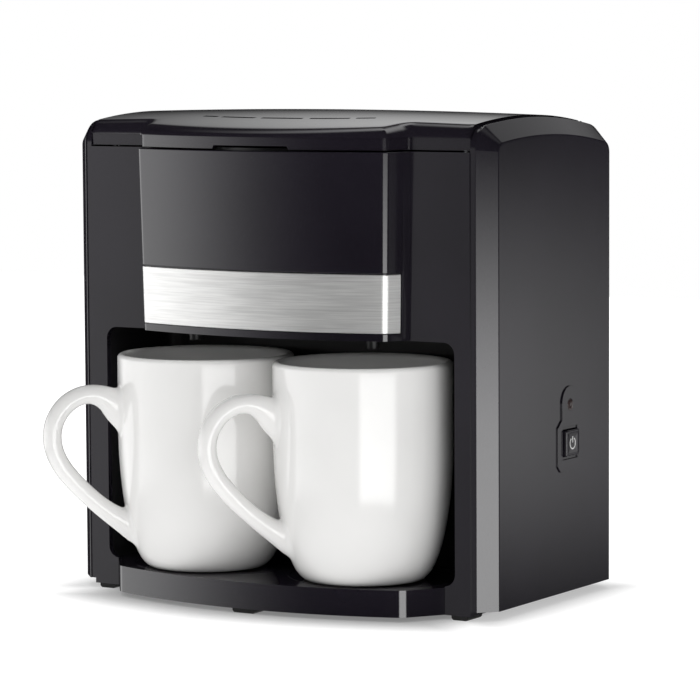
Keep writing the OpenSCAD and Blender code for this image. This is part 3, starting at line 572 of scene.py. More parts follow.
class Workshop:
    """Mesh jobs that the sub-assemblies share."""

    @staticmethod
    def link(name: str, data: bpy.types.ID) -> Piece:
        """Puts an object into the scene.

        Args:
            name: the object's name.
            data: its mesh, light or camera.

        Returns:
            The object.
        """
        made = bpy.data.objects.new(name, data)
        bpy.context.scene.collection.objects.link(made)
        return made

    @staticmethod
    def smooth(mesh: Mesh, degrees: float) -> None:
        """Shades a mesh smooth, except across sharp edges."""
        mesh.shade_smooth()
        mesh.set_sharp_from_angle(angle=math.radians(degrees))

    @staticmethod
    def place(name: str, mesh: Mesh, finish: Finish, smooth_deg: float,
              level: bool = False) -> Piece:
        """Links a mesh into the scene, outward normals and smooth by angle.

        Args:
            name: the object's name.
            mesh: its mesh.
            finish: its finish.
            smooth_deg: edges sharper than this stay sharp.
            level: keep the shading of large flat faces level.

        Returns:
            The object.
        """
        with editing(mesh) as work:
            bmesh.ops.remove_doubles(work, verts=work.verts, dist=TOUCHING)
            bmesh.ops.recalc_face_normals(work, faces=work.faces)
        mesh.name = name
        mesh.materials.clear()
        mesh.materials.append(finish.material())
        Workshop.smooth(mesh, smooth_deg)
        made = Workshop.link(name, mesh)
        if level:
            Workshop.level(made)
        return made

    @staticmethod
    def apply(made: Piece) -> Mesh:
        """Turns an object's modifiers into its plain mesh.

        Args:
            made: the object.

        Returns:
            Its new mesh.
        """
        graph = bpy.context.evaluated_depsgraph_get()
        mesh = bpy.data.meshes.new_from_object(made.evaluated_get(graph))
        made.modifiers.clear()
        made.data = mesh
        return mesh

    @staticmethod
    def level(made: Piece) -> None:
        """Weights the normals by face area, so that flat faces look flat beside round edges.

        Args:
            made: the object, which gets a plain mesh back.
        """
        weigh = made.modifiers.new("level", "WEIGHTED_NORMAL")
        weigh.mode = "FACE_AREA"
        weigh.keep_sharp = True
        Workshop.apply(made).name = made.name

    @staticmethod
    def baked(source: Piece) -> Mesh:
        """The object's mesh with its modifiers applied; the object is removed.

        Args:
            source: the object.

        Returns:
            The plain mesh.
        """
        made = Workshop.apply(source)
        bpy.data.objects.remove(source)
        return made

    @staticmethod
    def welded(node: Piece, bevel: float) -> Mesh:
        """A CAD node's mesh, welded, cleaned of flat edges and bevelled.

        Args:
            node: the CAD node.
            bevel: bevel width in millimetres.

        Returns:
            The new mesh.
        """
        mesh = node.data.copy()
        with editing(mesh) as work:
            bmesh.ops.remove_doubles(work, verts=work.verts, dist=MERGE)
            bmesh.ops.dissolve_limit(work, angle_limit=math.radians(FLAT_DEG), verts=work.verts,
                                     edges=work.edges)
        helper = Workshop.link("helper", mesh)
        rounding = helper.modifiers.new("rounding", "BEVEL")
        rounding.width = bevel * MM
        rounding.segments = 2
        rounding.limit_method = "ANGLE"
        rounding.angle_limit = math.radians(ROUNDED_DEG)
        return Workshop.baked(helper)


def arc(cx: float, cy: float, r: float, a0: float, a1: float, n: int) -> Array:
    """Points along an arc.

    Args:
        cx: centre, first coordinate.
        cy: centre, second coordinate.
        r: radius.
        a0: first angle in radians.
        a1: last angle in radians.
        n: segments.

    Returns:
        An (n + 1, 2) array.
    """
    a = np.linspace(a0, a1, n + 1)
    return np.stack([cx + r * np.cos(a), cy + r * np.sin(a)], axis=1)


def rounded_bar(low: float, high: float, inner: float, outer: float, radius: float) -> Array:
    """A closed section (inset, z) whose two outer corners are rounded.

    Args:
        low: lowest z.
        high: highest z.
        inner: inset of the hidden side.
        outer: inset of the shown side.
        radius: corner radius of the shown side.

    Returns:
        An (n, 2) array.
    """
    x = outer + radius
    lower = arc(x, low + radius, radius, -math.pi / 2, -math.pi, 4)
    upper = arc(x, high - radius, radius, math.pi, math.pi / 2, 4)
    return np.concatenate([[(inner, low)], lower, upper, [(inner, high)]])


def rounded_box(half_w: float, half_h: float, radius: float, steps: int) -> Array:
    """A rounded rectangle round the origin, counter-clockwise from its right side.

    Args:
        half_w: half its width.
        half_h: half its height.
        radius: corner radius.
        steps: segments of each corner.

    Returns:
        An (n, 2) array.
    """
    x, y, quarter = half_w - radius, half_h - radius, math.pi / 2
    return np.concatenate([
        arc(sx * x, sy * y, radius, i * quarter, (i + 1) * quarter, steps)
        for i, (sx, sy) in enumerate(((1, 1), (-1, 1), (-1, -1), (1, -1)))])


def revolved(profile: Sequence[Sequence[float]] | Array, count: int) -> Array:
    """Rings of a profile turned round the third axis.

    Args:
        profile: radius and height of each ring.
        count: points of each ring.

    Returns:
        An (n, count, 3) array.
    """
    profile = np.asarray(profile, float)[:, None]
    a = np.linspace(0, 2 * math.pi, count, endpoint=False)
    flat = profile[..., :1] * np.stack([np.cos(a), np.sin(a)], 1)
    return np.concatenate([flat, np.broadcast_to(profile[..., 1:], (len(flat), count, 1))], axis=-1)


def resampled(path: Array, count: int, trim: float = 0.0) -> Array:
    """Evenly spaced points along a path.

    Args:
        path: its points.
        count: how many to make.
        trim: length left off at each end.

    Returns:
        A (count, d) array.
    """
    gaps = np.concatenate([[0], np.cumsum(np.linalg.norm(np.diff(path, axis=0), axis=1))])
    at = np.linspace(trim, gaps[-1] - trim, count)
    return np.column_stack([np.interp(at, gaps, column) for column in path.T])


def distance(points: Array, line: Array) -> Array:
    """Distance of each point from a polyline.

    Args:
        points: an (n, 2) array.
        line: the polyline's points.

    Returns:
        An (n,) array.
    """
    start, way = line[:-1], np.diff(line, axis=0)
    share = np.einsum("nij,ij->ni", points[:, None] - start, way) / np.einsum("ij,ij->i", way, way)
    near = start + np.clip(share, 0, 1)[..., None] * way
    return np.sqrt(((points[:, None] - near) ** 2).sum(-1)).min(1)


def crown(y: Array | float, drop: float = 0.0) -> Array | float:
    """Height of the crowned top.

    Args:
        y: distance behind the fascia.
        drop: how far under the crest.

    Returns:
        The height.
    """
    return CROWN_Z + np.sqrt((CROWN_R - drop) ** 2 - (np.asarray(y) - CROWN_Y) ** 2)


@dataclass(frozen=True)
class BowedOutline:
    """Half-symmetric plan outline: slanted sides, round corners and a bowed front."""

    half_width: float
    corner_x: float
    corner_r: float
    out: float

    def points(self, inset: float, y_end: float = 0.0, side: int = 6, corner: int = 14,
               bow: int = 90) -> Array:
        """The outline from its right end to its left end.

        Args:
            inset: how far inside the outline.
            y_end: where the sides stop.
            side: segments of each side.
            corner: segments of each corner.
            bow: segments of the bow.

        Returns:
            An (n, 2) array.
        """
        mid = BOW_R - self.out
        cy = mid - math.sqrt((BOW_R - self.corner_r) ** 2 - self.corner_x ** 2)
        c = max(self.corner_r - inset, 0.25)
        reach = self.half_width - inset
        past = reach - self.corner_x
        a_side = math.atan2(-cy, past) - math.acos(c / math.hypot(past, cy))
        a_bow = math.atan2(cy - mid, self.corner_x)
        start = np.array([self.corner_x + c * math.cos(a_side), cy + c * math.sin(a_side)])
        end = np.array([reach, 0.0])
        first = start + (end - start) * ((y_end - start[1]) / (end[1] - start[1]))
        line = first + (start - first) * np.linspace(0, 1, side + 1)[:-1, None]
        round_corner = arc(self.corner_x, cy, c, a_side, a_bow, corner)
        turn = math.atan2(round_corner[-1][1] - mid, round_corner[-1][0])
        front = arc(0.0, mid, math.hypot(round_corner[-1][0], round_corner[-1][1] - mid),
                    turn, -math.pi - turn, bow)[1:-1]
        right = np.concatenate([line, round_corner])
        left = right[::-1] * (-1.0, 1.0)
        return np.concatenate([right, front, left])


def head_outline(z: float) -> BowedOutline:
    """The brew head's outline at one height: it narrows and leans back towards its foot.

    Args:
        z: the height.

    Returns:
        The outline.
    """
    t = (HEAD_TOP - z) / (HEAD_TOP - HEAD_FOOT)
    return BowedOutline(HEAD_HALF, 57.6 - 1.2 * t, 4.5, 21.0 - 1.8 * t)


class GeometryGraph(NodeGraph):
    """A geometry node group with named inputs."""

    def __init__(self, name: str) -> None:
        """Starts a group that takes and gives a geometry.

        Args:
            name: the group's name.
        """
        super().__init__(bpy.data.node_groups.new(name, "GeometryNodeTree"))
        for way in ("INPUT", "OUTPUT"):
            self.tree.interface.new_socket("Geometry", in_out=way, socket_type="NodeSocketGeometry")
        self.entry = self.node("NodeGroupInput")
        self.exit = self.node("NodeGroupOutput")

    def number(self, name: str, value: float) -> bpy.types.NodeSocket:
        """Adds a named number input.

        Args:
            name: its name.
            value: its default.

        Returns:
            The socket inside the group.
        """
        made = self.tree.interface.new_socket(name, in_out="INPUT", socket_type="NodeSocketFloat")
        made.default_value = value
        return self.entry.outputs[name]

    def bake(self, base: Mesh, values: Mapping[str, float]) -> Mesh:
        """Runs the group on a mesh.

        Args:
            base: the mesh it starts from.
            values: input name to value.

        Returns:
            The plain mesh that it makes.
        """
        helper = Workshop.link("helper", base)
        modifier = helper.modifiers.new("nodes", "NODES")
        modifier.node_group = self.tree
        for item in self.tree.interface.items_tree:
            if item.in_out == "INPUT" and item.name in values:
                modifier[item.identifier] = values[item.name]
        return Workshop.baked(helper)


class WireGraph(GeometryGraph):
    """Turns every edge of a mesh into a round wire."""

    def __init__(self, finish: Finish) -> None:
        """Builds the group.

        Args:
            finish: the wire's finish.
        """
        super().__init__("edges_to_wire")
        radius = self.number("Wire radius", 0.15 * MM)
        line = self.node("GeometryNodeMeshToCurve", None, {0: self.entry.outputs[0]})
        ring = self.node("GeometryNodeCurvePrimitiveCircle", None, {"Resolution": 6, "Radius": radius})
        tube = self.node("GeometryNodeCurveToMesh", None, {0: line.outputs[0], 1: ring.outputs[0]})
        real = self.node("GeometryNodeRealizeInstances", None, {0: tube.outputs[0]})
        coat = self.node("GeometryNodeSetMaterial", None,
                         {0: real.outputs[0], "Material": finish.material()})
        self.tree.links.new(coat.outputs[0], self.exit.inputs[0])


@dataclass
class Assembly:
    """A group of pieces. Subclasses build them."""

    frame: Mapping[str, object]

    def show(self, made: Piece, body: str, nodes: Sequence[str], finish: Finish) -> None:
        """Attaches a piece to its CAD body.

        Args:
            made: the piece.
            body: the CAD body it rides on.
            nodes: the CAD nodes it stands for.
            finish: not used.
        """
        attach(made, body)
        if nodes:
            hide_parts(*nodes)
        LOG.info("%s on %s: %d faces", made.name, body, len(made.data.polygons))


@dataclass
class CadPieces(Assembly):
    """CAD nodes shown as welded, bevelled copies: node, finish and bevel in millimetres."""

    plan: Sequence[tuple[str, Finish, float]] = (
        ("housing_shell", GLOSS, 0.35), ("bay_liner", SATIN, 0.3), ("base_pan", GLOSS, 0.3),
        ("mug_tray", GLOSS, 0.12), ("feet", FOOT_RUBBER, 0.25), ("back_cover", SATIN, 0.25),
        ("inner_deck", SATIN, 0.25), ("head_shell", GLOSS, 0.3), ("brew_funnel", SATIN, 0.25),
        ("filter_frame", SATIN, 0.2), ("water_tank", SMOKE, 0.3), ("tank_seal", SILICONE, 0.2),
        ("riser_tube", NATURAL, 0.3), ("water_spreader", SATIN, 0.25), ("lid_hinge_pins", PLATED, 0.3),
        ("heating_element", DRAWN, 0.3), ("heater_bracket", PLATED, 0.2), ("heater_clamp", PLATED, 0.3),
        ("heater_screws", PLATED, 0.15), ("thermostat", CREAM, 0.2), ("thermal_fuse", CREAM, 0.2),
        ("inlet_hose", SILICONE, 0.3), ("outlet_hose", SILICONE, 0.3), ("check_valve", NATURAL, 0.2),
        ("hose_clamps", PLATED, 0.2), ("switch_plate", GLOSS, 0.15), ("power_switch", SATIN, 0.3),
        ("cord_grommet", FOOT_RUBBER, 0.4), ("base_screws", PLATED, 0.12),
        ("deck_screws", PLATED, 0.12), ("back_screws", PLATED, 0.12),
    )

    def build(self) -> None:
        """Makes every copy."""
        bodies = {n: b for b, members in self.frame["record"]["behaviour"]["bodies"].items()
                  for n in members}
        for node, finish, bevel in self.plan:
            mesh = Workshop.welded(self.frame["nodes"][node], bevel)
            made = Workshop.place(node + "_moulded", mesh, finish, 35.0, level=True)
            self.show(made, bodies[node], [node], finish)


@dataclass
class SidePanels(Assembly):
    """The two chamfered side panels. Each corner has a radius at the crest and at the flat face."""

    chamfer: float = 7.2
    lip: float = 0.15
    front_corners: tuple[float, float] = (10.0, 3.6)
    rear_corners: tuple[float, float] = (15.0, 4.6)
    edge_round: float = 0.8
    face_round: float = 0.9
    steps: int = 6
    smooth_deg: float = 28.0
    tuck: float = 2.5
    hole_x: tuple[float, float] = (90.0, 110.0)
    hole_half_y: float = 6.05
    hole_half_z: float = 5.85
    lines: int = 24
    corners: int = 16
    crest: int = 60

    def outline(self, inset: float) -> Array:
        """The panel's outline in (y, z), counter-clockwise from the front bottom corner.

        Args:
            inset: how far inside the crest outline.

        Returns:
            An (n, 2) array.
        """
        share = inset / self.chamfer
        front_r, rear_r = (max(c[0] + (c[1] - c[0]) * share, 1.2)
                           for c in (self.front_corners, self.rear_corners))
        y0, y1 = inset + front_r, CREST_DEPTH - inset - rear_r
        z0 = CROWN_Z + math.sqrt((CROWN_R - inset - front_r) ** 2 - (y0 - CROWN_Y) ** 2)
        z1 = CROWN_Z + math.sqrt((CROWN_R - inset - rear_r) ** 2 - (y1 - CROWN_Y) ** 2)
        a0 = math.atan2(z0 - CROWN_Z, y0 - CROWN_Y)
        a1 = math.atan2(z1 - CROWN_Z, y1 - CROWN_Y)
        front = np.linspace(PANEL_BOTTOM, z0, self.lines)[:, None] * (0, 1) + (inset, 0)
        back = np.linspace(z1, PANEL_BOTTOM, self.lines)[:, None] * (0, 1) + (CREST_DEPTH - inset, 0)
        return np.concatenate([
            front[:-1],
            arc(y0, z0, front_r, math.pi, a0, self.corners),
            arc(CROWN_Y, CROWN_Z, CROWN_R - inset, a0, a1, self.crest)[1:-1],
            arc(y1, z1, rear_r, a1, 0.0, self.corners),
            back[1:],
        ])

    def section(self) -> Array:
        """The panel's edge section (x, inset), from its inner face to its outer face.

        Returns:
            An (n, 2) array.
        """
        x0, x1 = PANEL_INNER_X + self.lip, HALF_WIDTH
        e, f = self.edge_round, self.face_round
        slope = math.atan2(self.chamfer, x1 - x0)
        turn = math.pi / 2 - slope
        end = self.chamfer + f * math.tan(turn / 2)
        return np.concatenate([
            [(PANEL_INNER_X, self.tuck), (PANEL_INNER_X, 0.0)],
            arc(x0 - e * math.tan(slope / 2), e, e, -math.pi / 2, -turn, self.steps),
            arc(x1 - f, end, f, -turn, 0.0, self.steps),
            [(x1, end + 1.0)],
        ])

    def build(self) -> None:
        """Makes both panels."""
        for side, node in ((-1.0, "left_side_panel"), (1.0, "right_side_panel")):
            rows = [[(side * x, y, z) for y, z in self.outline(inset)] for x, inset in self.section()]
            sketch = Sketch().grid(np.array(rows), close_columns=True, caps=True)
            made = sketch.build(node + "_moulded", GLOSS, self.smooth_deg)
            if side > 0:
                self.cut_button_hole(made)
            Workshop.level(made)
            self.show(made, "machine", [node], GLOSS)

    def cut_button_hole(self, made: Piece) -> None:
        """Cuts the button's hole through the right panel.

        Args:
            made: the panel.
        """
        rows = [[(x, SWITCH_Y + a * self.hole_half_y, SWITCH_Z + b * self.hole_half_z)
                 for a, b in SQUARE] for x in self.hole_x]
        tool = Sketch().grid(np.array(rows), close_columns=True, caps=True).build("cutter", GLOSS)
        cut = made.modifiers.new("hole", "BOOLEAN")
        cut.object = tool
        cut.solver = "EXACT"
        Workshop.smooth(Workshop.apply(made), self.smooth_deg)
        bpy.data.objects.remove(tool)


@dataclass(frozen=True)
class Trim:
    """A strip round the brew head. It stops at y_end on the head's sides."""

    name: str
    node: str
    finish: Finish
    low: float
    high: float
    inset: float
    radius: float
    y_end: float


@dataclass
class HeadTrims(Assembly):
    """The gloss upper panel and the steel band on the brew head."""

    depth: float = 1.18
    trims: Sequence[Trim] = (
        Trim("upper_front_panel_moulded", "upper_front_panel", GLOSS, 142.0, HEAD_TOP, 0.0, 0.4, -3.5),
        Trim("steel_band_pressed", "steel_band", STEEL, 117.4, 141.6, 0.1, 0.35, -4.0),
    )

    def build(self) -> None:
        """Sweeps each trim's closed section round the head."""
        for trim in self.trims:
            section = rounded_bar(trim.low, trim.high, self.depth, trim.inset, trim.radius)
            rows = np.array([[(x, y, z) for x, y in head_outline(z).points(inset, trim.y_end)]
                             for inset, z in section])
            sketch = Sketch().grid(rows, close_rows=True)
            n = rows.shape[1]
            for column in (0, n - 1):
                sketch.face(range(column, len(rows) * n, n))
            made = sketch.build(trim.name, trim.finish, 30.0, level=True)
            self.show(made, "machine", [trim.node], trim.finish)


@dataclass
class Lid(Assembly):
    """The crowned lid: a smooth skin with a rolled edge and vents over the moulded body.

    Fields named wing shape the inner corner beside the nose, notch the finger notch in the skirt, and
    fill the points under the crown. Each vent has a shift along its row and a length.
    """

    half_width: float = 93.0
    roll: float = 6.0
    skirt_z: float = 197.2
    foot_z: float = 192.2
    notch_half: float = 18.5
    notch_rise: float = 1.4
    step_in: float = 0.95
    rim_drop: float = 0.4
    gap: float = 0.6
    wing_y: float = 0.4
    wing_r: float = 1.6
    fill_x: float = 88.0
    fill_y: tuple[float, float] = (-12.0, 92.0)
    rise: float = 0.835
    bulge: float = 1.4
    back_y: float = 95.0
    vent_y: float = 178.5
    vent_r: float = 172.0
    vent_width: float = 2.4
    vent_corner: float = 0.5
    vent_depth: float = 3.1
    vents: Sequence[tuple[float, float]] = (
        (-38.6, 8.5), (-22.6, 18.3), (0.0, 20.4), (22.6, 18.3), (38.6, 8.5))

    def edge(self, out: float = 0.0) -> Array:
        """The lid's front edge in plan, from right to left.

        Args:
            out: how far outside the CAD outline.

        Returns:
            An (n, 2) array.
        """
        nose = head_outline(HEAD_TOP).points(self.gap - out, 0.0, side=8, corner=18, bow=110)
        y0 = self.wing_y - out
        x0 = HEAD_HALF - self.gap + out
        round_r = self.wing_r
        inner = arc(x0 + round_r, y0 - round_r, round_r, math.pi / 2, math.pi * 0.93, 8)
        wing = np.linspace(self.half_width, x0 + round_r, 14)[:, None] * (1, 0) + (0, y0)
        keep = nose[np.abs(nose[:, 0]) < inner[-1, 0] + 0.01]
        keep = keep[keep[:, 1] < inner[-1, 1] - 0.3]
        right = np.concatenate([wing[:-1], inner])
        return np.concatenate([right, keep, right[::-1] * (-1, 1)])

    def vent_loops(self) -> list[Array]:
        """The vents' outlines in plan.

        Returns:
            One (n, 2) array for each vent.
        """
        loops = []
        for shift, length in self.vents:
            a = shift / self.vent_r
            turn = np.array([[math.cos(a), math.sin(a)], [-math.sin(a), math.cos(a)]])
            slot = rounded_box(length / 2, self.vent_width / 2, self.vent_corner, 3) - (0, self.vent_r)
            loops.append(slot @ turn + (0, self.vent_y))
        return loops

    def height(self, plan: Array) -> Array:
        """Height of the skin's top over plan points: crowned, and rolled over at the edge.

        Args:
            plan: an (n, 2) array.

        Returns:
            An (n,) array.
        """
        top = crown(plan[:, 1], -self.rise) + self.bulge * (1 - (plan[:, 0] / self.half_width) ** 2)
        k = np.clip(1 - distance(plan, self.edge()) / self.roll, 0, 1)
        return self.skirt_z + (top - self.skirt_z) * np.sqrt(np.clip(1 - k * k, 0, 1))

    def raised(self, plan: Array) -> Array:
        """Plan points lifted onto the skin."""
        return np.column_stack([plan, self.height(plan)])

    def build_skin(self) -> Piece:
        """Makes the outer skin: top, rolled edge, vent walls and skirt.

        Returns:
            The skin.
        """
        edge = self.edge()
        sides = np.linspace(edge[0, 1], self.back_y, 30)[1:, None] * (0, 1)
        right = (sides + (self.half_width, 0))[::-1]
        left = sides + (-self.half_width, 0)
        back = np.linspace(-self.half_width, self.half_width, 40)[1:-1, None] * (1, 0) + (0, self.back_y)
        outline = np.concatenate([edge, left, back, right])
        vents = self.vent_loops()
        points = [outline, *vents, self.fill_points(edge)]
        starts = np.cumsum([0] + [len(p) for p in points])
        rings = [list(range(starts[i], starts[i + 1])) for i in range(len(points) - 1)]
        edges = [(r[i], r[(i + 1) % len(r)]) for r in rings for i in range(len(r))]
        found, _, faces, _, _, _ = delaunay_2d_cdt(
            [Vector(p) for p in np.concatenate(points)], edges, [], 0, 1e-6, True)
        flat = np.array([(p.x, p.y) for p in found])
        sketch = Sketch()
        sketch.add(self.raised(flat))
        for f in faces:
            middle = flat[list(f)].mean(0)
            if self.inside(middle, outline) and not any(self.inside(middle, v) for v in vents):
                sketch.face(f)
        self.walls(sketch, vents, outline)
        return sketch.build("lid_skin", LID_GLOSS, 40.0)

    def fill_points(self, edge: Array) -> Array:
        """Plan points that carry the roll and the crown.

        Args:
            edge: the front edge's polyline.

        Returns:
            An (n, 2) array.
        """
        step = np.diff(edge, axis=0)
        normal = np.stack([step[:, 1], -step[:, 0]], 1)
        normal /= np.linalg.norm(normal, axis=1, keepdims=True)
        smooth = np.vstack([normal[:1], (normal[1:] + normal[:-1]) / 2, normal[-1:]])
        smooth /= np.linalg.norm(smooth, axis=1, keepdims=True)
        rings = []
        for a in np.linspace(0, math.pi / 2, 11)[1:]:
            d = self.roll * (1 - math.cos(a))
            ring = edge + smooth * d
            on_lid = np.abs(ring[:, 0]) < self.half_width - 0.05
            rings.append(ring[(distance(ring, edge) > d - 0.02) & on_lid])
        xs, ys = np.meshgrid(np.linspace(-self.fill_x, self.fill_x, 34), np.linspace(*self.fill_y, 40))
        grid = np.column_stack([xs.ravel(), ys.ravel()])
        whole = np.vstack([edge, [(-self.half_width, self.back_y), (self.half_width, self.back_y)]])
        within = np.array([self.inside(p, whole) for p in grid])
        return np.concatenate(rings + [grid[(distance(grid, edge) > self.roll + 1.0) & within]])

    @staticmethod
    def inside(point: Array, loop: Array) -> bool:
        """Whether a point is inside a closed loop.

        Args:
            point: the point.
            loop: an (n, 2) array.

        Returns:
            True if it is inside.
        """
        x, y = point
        a, b = loop, np.roll(loop, -1, axis=0)
        crosses = (a[:, 1] > y) != (b[:, 1] > y)
        with np.errstate(divide="ignore", invalid="ignore"):
            at = a[:, 0] + (y - a[:, 1]) * (b[:, 0] - a[:, 0]) / (b[:, 1] - a[:, 1])
        return bool(np.count_nonzero(crosses & (x < at)) % 2)

    def walls(self, sketch: Sketch, vents: Sequence[Array], outline: Array) -> None:
        """Adds the vents' walls and the skirt with its step.

        Args:
            sketch: where they go.
            vents: the vents' outlines.
            outline: the whole outline.
        """
        for loop in vents:
            top = self.raised(loop)
            sketch.grid(np.array([top, top - (0, 0, self.vent_depth)]), close_columns=True)
        edge, step = self.edge(), self.edge(-self.step_in)
        count = min(len(step), len(edge))
        outer, inner = resampled(edge, count), resampled(step, count)
        foot = np.where(np.abs(inner[:, 0]) > self.notch_half, self.foot_z, self.foot_z + self.notch_rise)
        sketch.grid(np.array([np.column_stack([path, z]) for path, z in (
            (outer, np.full(count, self.skirt_z)), (inner, np.full(count, self.skirt_z - 0.02)),
            (inner, foot))]))
        rim = self.raised(outline)[len(edge) - 1:]
        sketch.grid(np.array([rim, rim - (0, 0, self.rim_drop)]))

    def body_mesh(self) -> Mesh:
        """The CAD lid without the outer faces that the skin stands for.

        Returns:
            The mesh.
        """
        mesh = self.frame["nodes"]["lid"].data.copy()
        with editing(mesh) as work:
            bmesh.ops.remove_doubles(work, verts=work.verts, dist=MERGE)
            work.verts.ensure_lookup_table()
            points = np.array([v.co for v in work.verts]) / MM - (0.0, FASCIA_Y, 0.0)
            outer = np.abs(points[:, 2] - self.height(points[:, :2])) < 0.6
            gone = [f for f in work.faces if f.normal.z > 0.02 and all(outer[v.index] for v in f.verts)]
            bmesh.ops.delete(work, geom=gone, context="FACES")
            bmesh.ops.dissolve_limit(work, angle_limit=math.radians(0.2), verts=work.verts,
                                     edges=work.edges)
        return mesh

    def build(self) -> None:
        """Makes the lid's skin and body."""
        moulded = Workshop.place("lid_body", self.body_mesh(), LID_GLOSS, 30.0)
        self.show(moulded, "brew_lid", ["lid"], LID_GLOSS)
        self.show(self.build_skin(), "brew_lid", [], LID_GLOSS)


@dataclass
class Mug(Assembly):
    """A glazed stoneware mug with a swept handle that flows into its wall.

    The handle's line gives its distance from the axis, its height and its half thickness.
    """

    node: str = "left_mug"
    body: str = "mug_left"
    centre_x: float = -39.06
    centre_y: float = 6.1
    rest_z: float = 13.2
    height: float = 91.1
    radius: float = 37.65
    base_r: float = 23.4
    belly: float = 60.0
    wall: float = 3.6
    turn_deg: float = 226.0
    half_w: float = 5.08
    squareness: float = 0.94
    fillet: float = 3.2
    floor: float = 5.0
    samples: int = 120
    line: Sequence[tuple[float, float, float]] = (
        (33.5, 66.5, 9.5), (38, 69, 7.4), (43, 72.6, 5.4), (48.5, 74.6, 4.2), (54.5, 74.2, 3.9),
        (60.3, 71, 3.9), (64.6, 65.6, 3.9), (66.6, 59, 3.9), (65.9, 51.5, 3.9), (62.6, 44.4, 3.9),
        (57.6, 38, 3.9), (51.6, 31.8, 3.9), (45, 26, 4.1), (38.5, 21.4, 4.8), (31.5, 17.2, 6.2))

    def outer(self, z: Array | float) -> Array | float:
        """Outer radius at a height above the foot."""
        k = np.clip(1 - np.asarray(z) / self.belly, 0, 1)
        return self.base_r + (self.radius - self.base_r) * np.sqrt(1 - k * k)

    def profile(self) -> Array:
        """Section of the body (r, z) from the middle of the foot to the middle of the floor.

        Returns:
            An (n, 2) array.
        """
        b = self.base_r
        foot = [(0.0, 1.3), (b - 4.2, 1.3), (b - 3.4, 1.1), (b - 2.9, 0.5), (b - 2.4, 0.1), (b - 1.9, 0.0),
                (b - 0.7, 0.0), (b - 0.1, 0.12), (b + 0.35, 0.45)]
        z = self.belly * np.linspace(0.0, 1.0, 60)[1:] ** 1.7
        z = z[z > 0.35]
        side = np.column_stack([self.outer(z), z])
        side = side[side[:, 0] > b + 0.9]
        top = self.height - self.wall / 2
        straight = np.column_stack([np.full(12, self.radius), np.linspace(self.belly, top, 13)[1:]])
        rim = arc(self.radius - self.wall / 2, top, self.wall / 2, 0.0, math.pi, 20)[1:]
        floor = self.floor
        inner_z = floor + (self.belly - floor) * np.linspace(1.0, 0.0, 50)[:-1] ** 1.6
        share = (inner_z - floor) / (self.belly - floor)
        inner_r = self.outer(inner_z) - self.wall - 1.2 * (1 - share)
        down = np.column_stack([np.full(10, self.radius - self.wall),
                                np.linspace(top, self.belly, 12)[1:-1]])
        cup = np.column_stack([inner_r, inner_z])
        last = cup[-1]
        bowl = [(last[0] - 2.0, floor + 0.35), (last[0] - 4.5, floor + 0.08), (last[0] - 8.0, floor),
                (0.0, floor)]
        return np.concatenate([foot, side, straight, rim, down, cup, bowl])

    def spine(self, n: int = 240) -> Array:
        """Dense handle centre line (r, z, half thickness), a Catmull-Rom curve.

        Args:
            n: samples.

        Returns:
            An (n, 3) array.
        """
        p = np.array(self.line, float)
        p = np.vstack([2 * p[0] - p[1], p, 2 * p[-1] - p[-2]])
        t = np.linspace(0, len(self.line) - 1 - 1e-9, n)
        i = t.astype(int)
        u = (t - i)[:, None]
        a, b, c, d = p[i], p[i + 1], p[i + 2], p[i + 3]
        curve = 0.5 * (2 * b + (c - a) * u + (2 * a - 5 * b + 4 * c - d) * u ** 2
                       + (3 * b - a - 3 * c + d) * u ** 3)
        for _ in range(12):
            curve[1:-1] = (curve[:-2] + 2 * curve[1:-1] + curve[2:]) / 4
        reach = np.arange(1, 17)[:, None] * 0.6
        ends = []
        for tip, before in ((curve[0], curve[2]), (curve[-1], curve[-3])):
            way = np.append((tip - before)[:2], 0.0)
            ends.append(tip + reach * way / np.linalg.norm(way))
        return np.vstack([ends[0][::-1], curve, ends[1]])

    def tube(self, sides: int = 48) -> Array:
        """Rings of the handle before it is trimmed to the body.

        Args:
            sides: points of each ring.

        Returns:
            An (n, sides, 3) array in the mug's own frame.
        """
        spine = self.spine()
        way = np.gradient(spine[:, :2], axis=0)
        way /= np.linalg.norm(way, axis=1, keepdims=True)
        a = np.linspace(0, 2 * math.pi, sides, endpoint=False)
        c, s = (np.sign(v) * np.abs(v) ** self.squareness for v in (np.cos(a), np.sin(a)))
        out = spine[:, 2, None] * c[None]
        return np.stack([
            spine[:, 0, None] + way[:, 1, None] * out,
            np.broadcast_to(self.half_w * s[None], out.shape),
            spine[:, 1, None] - way[:, 0, None] * out], axis=-1)

    def trimmed(self) -> Array:
        """The handle's rings, from a fillet on the wall to a fillet on the wall.

        Returns:
            An (n, sides, 3) array in the mug's own frame.
        """
        tube = self.tube()
        gap = np.hypot(tube[..., 0], tube[..., 1]) - self.outer(tube[..., 2])
        spans = []
        for path, free in zip(tube.transpose(1, 0, 2), gap.T):
            i, j = np.nonzero(free > 0)[0][[0, -1]]
            spans.append(np.vstack([self.cross(path, free, i - 1), path[i:j + 1],
                                    self.cross(path, free, j)]))
        middles = [np.mean([span[tip] for span in spans], axis=0) for tip in (0, -1)]
        whole = []
        for span in spans:
            path = resampled(span, self.samples, self.fillet)
            start, end = (self.fillet_curve(path[tip], span[tip], middles[tip]) for tip in (0, -1))
            whole.append(np.vstack([start, path[1:-1], end[::-1]]))
        return np.array(whole).transpose(1, 0, 2)

    @staticmethod
    def cross(path: Array, gap: Array, i: int) -> Array:
        """Where a path passes the wall, between samples i and i + 1."""
        t = gap[i] / (gap[i] - gap[i + 1])
        return path[i] + (path[i + 1] - path[i]) * t

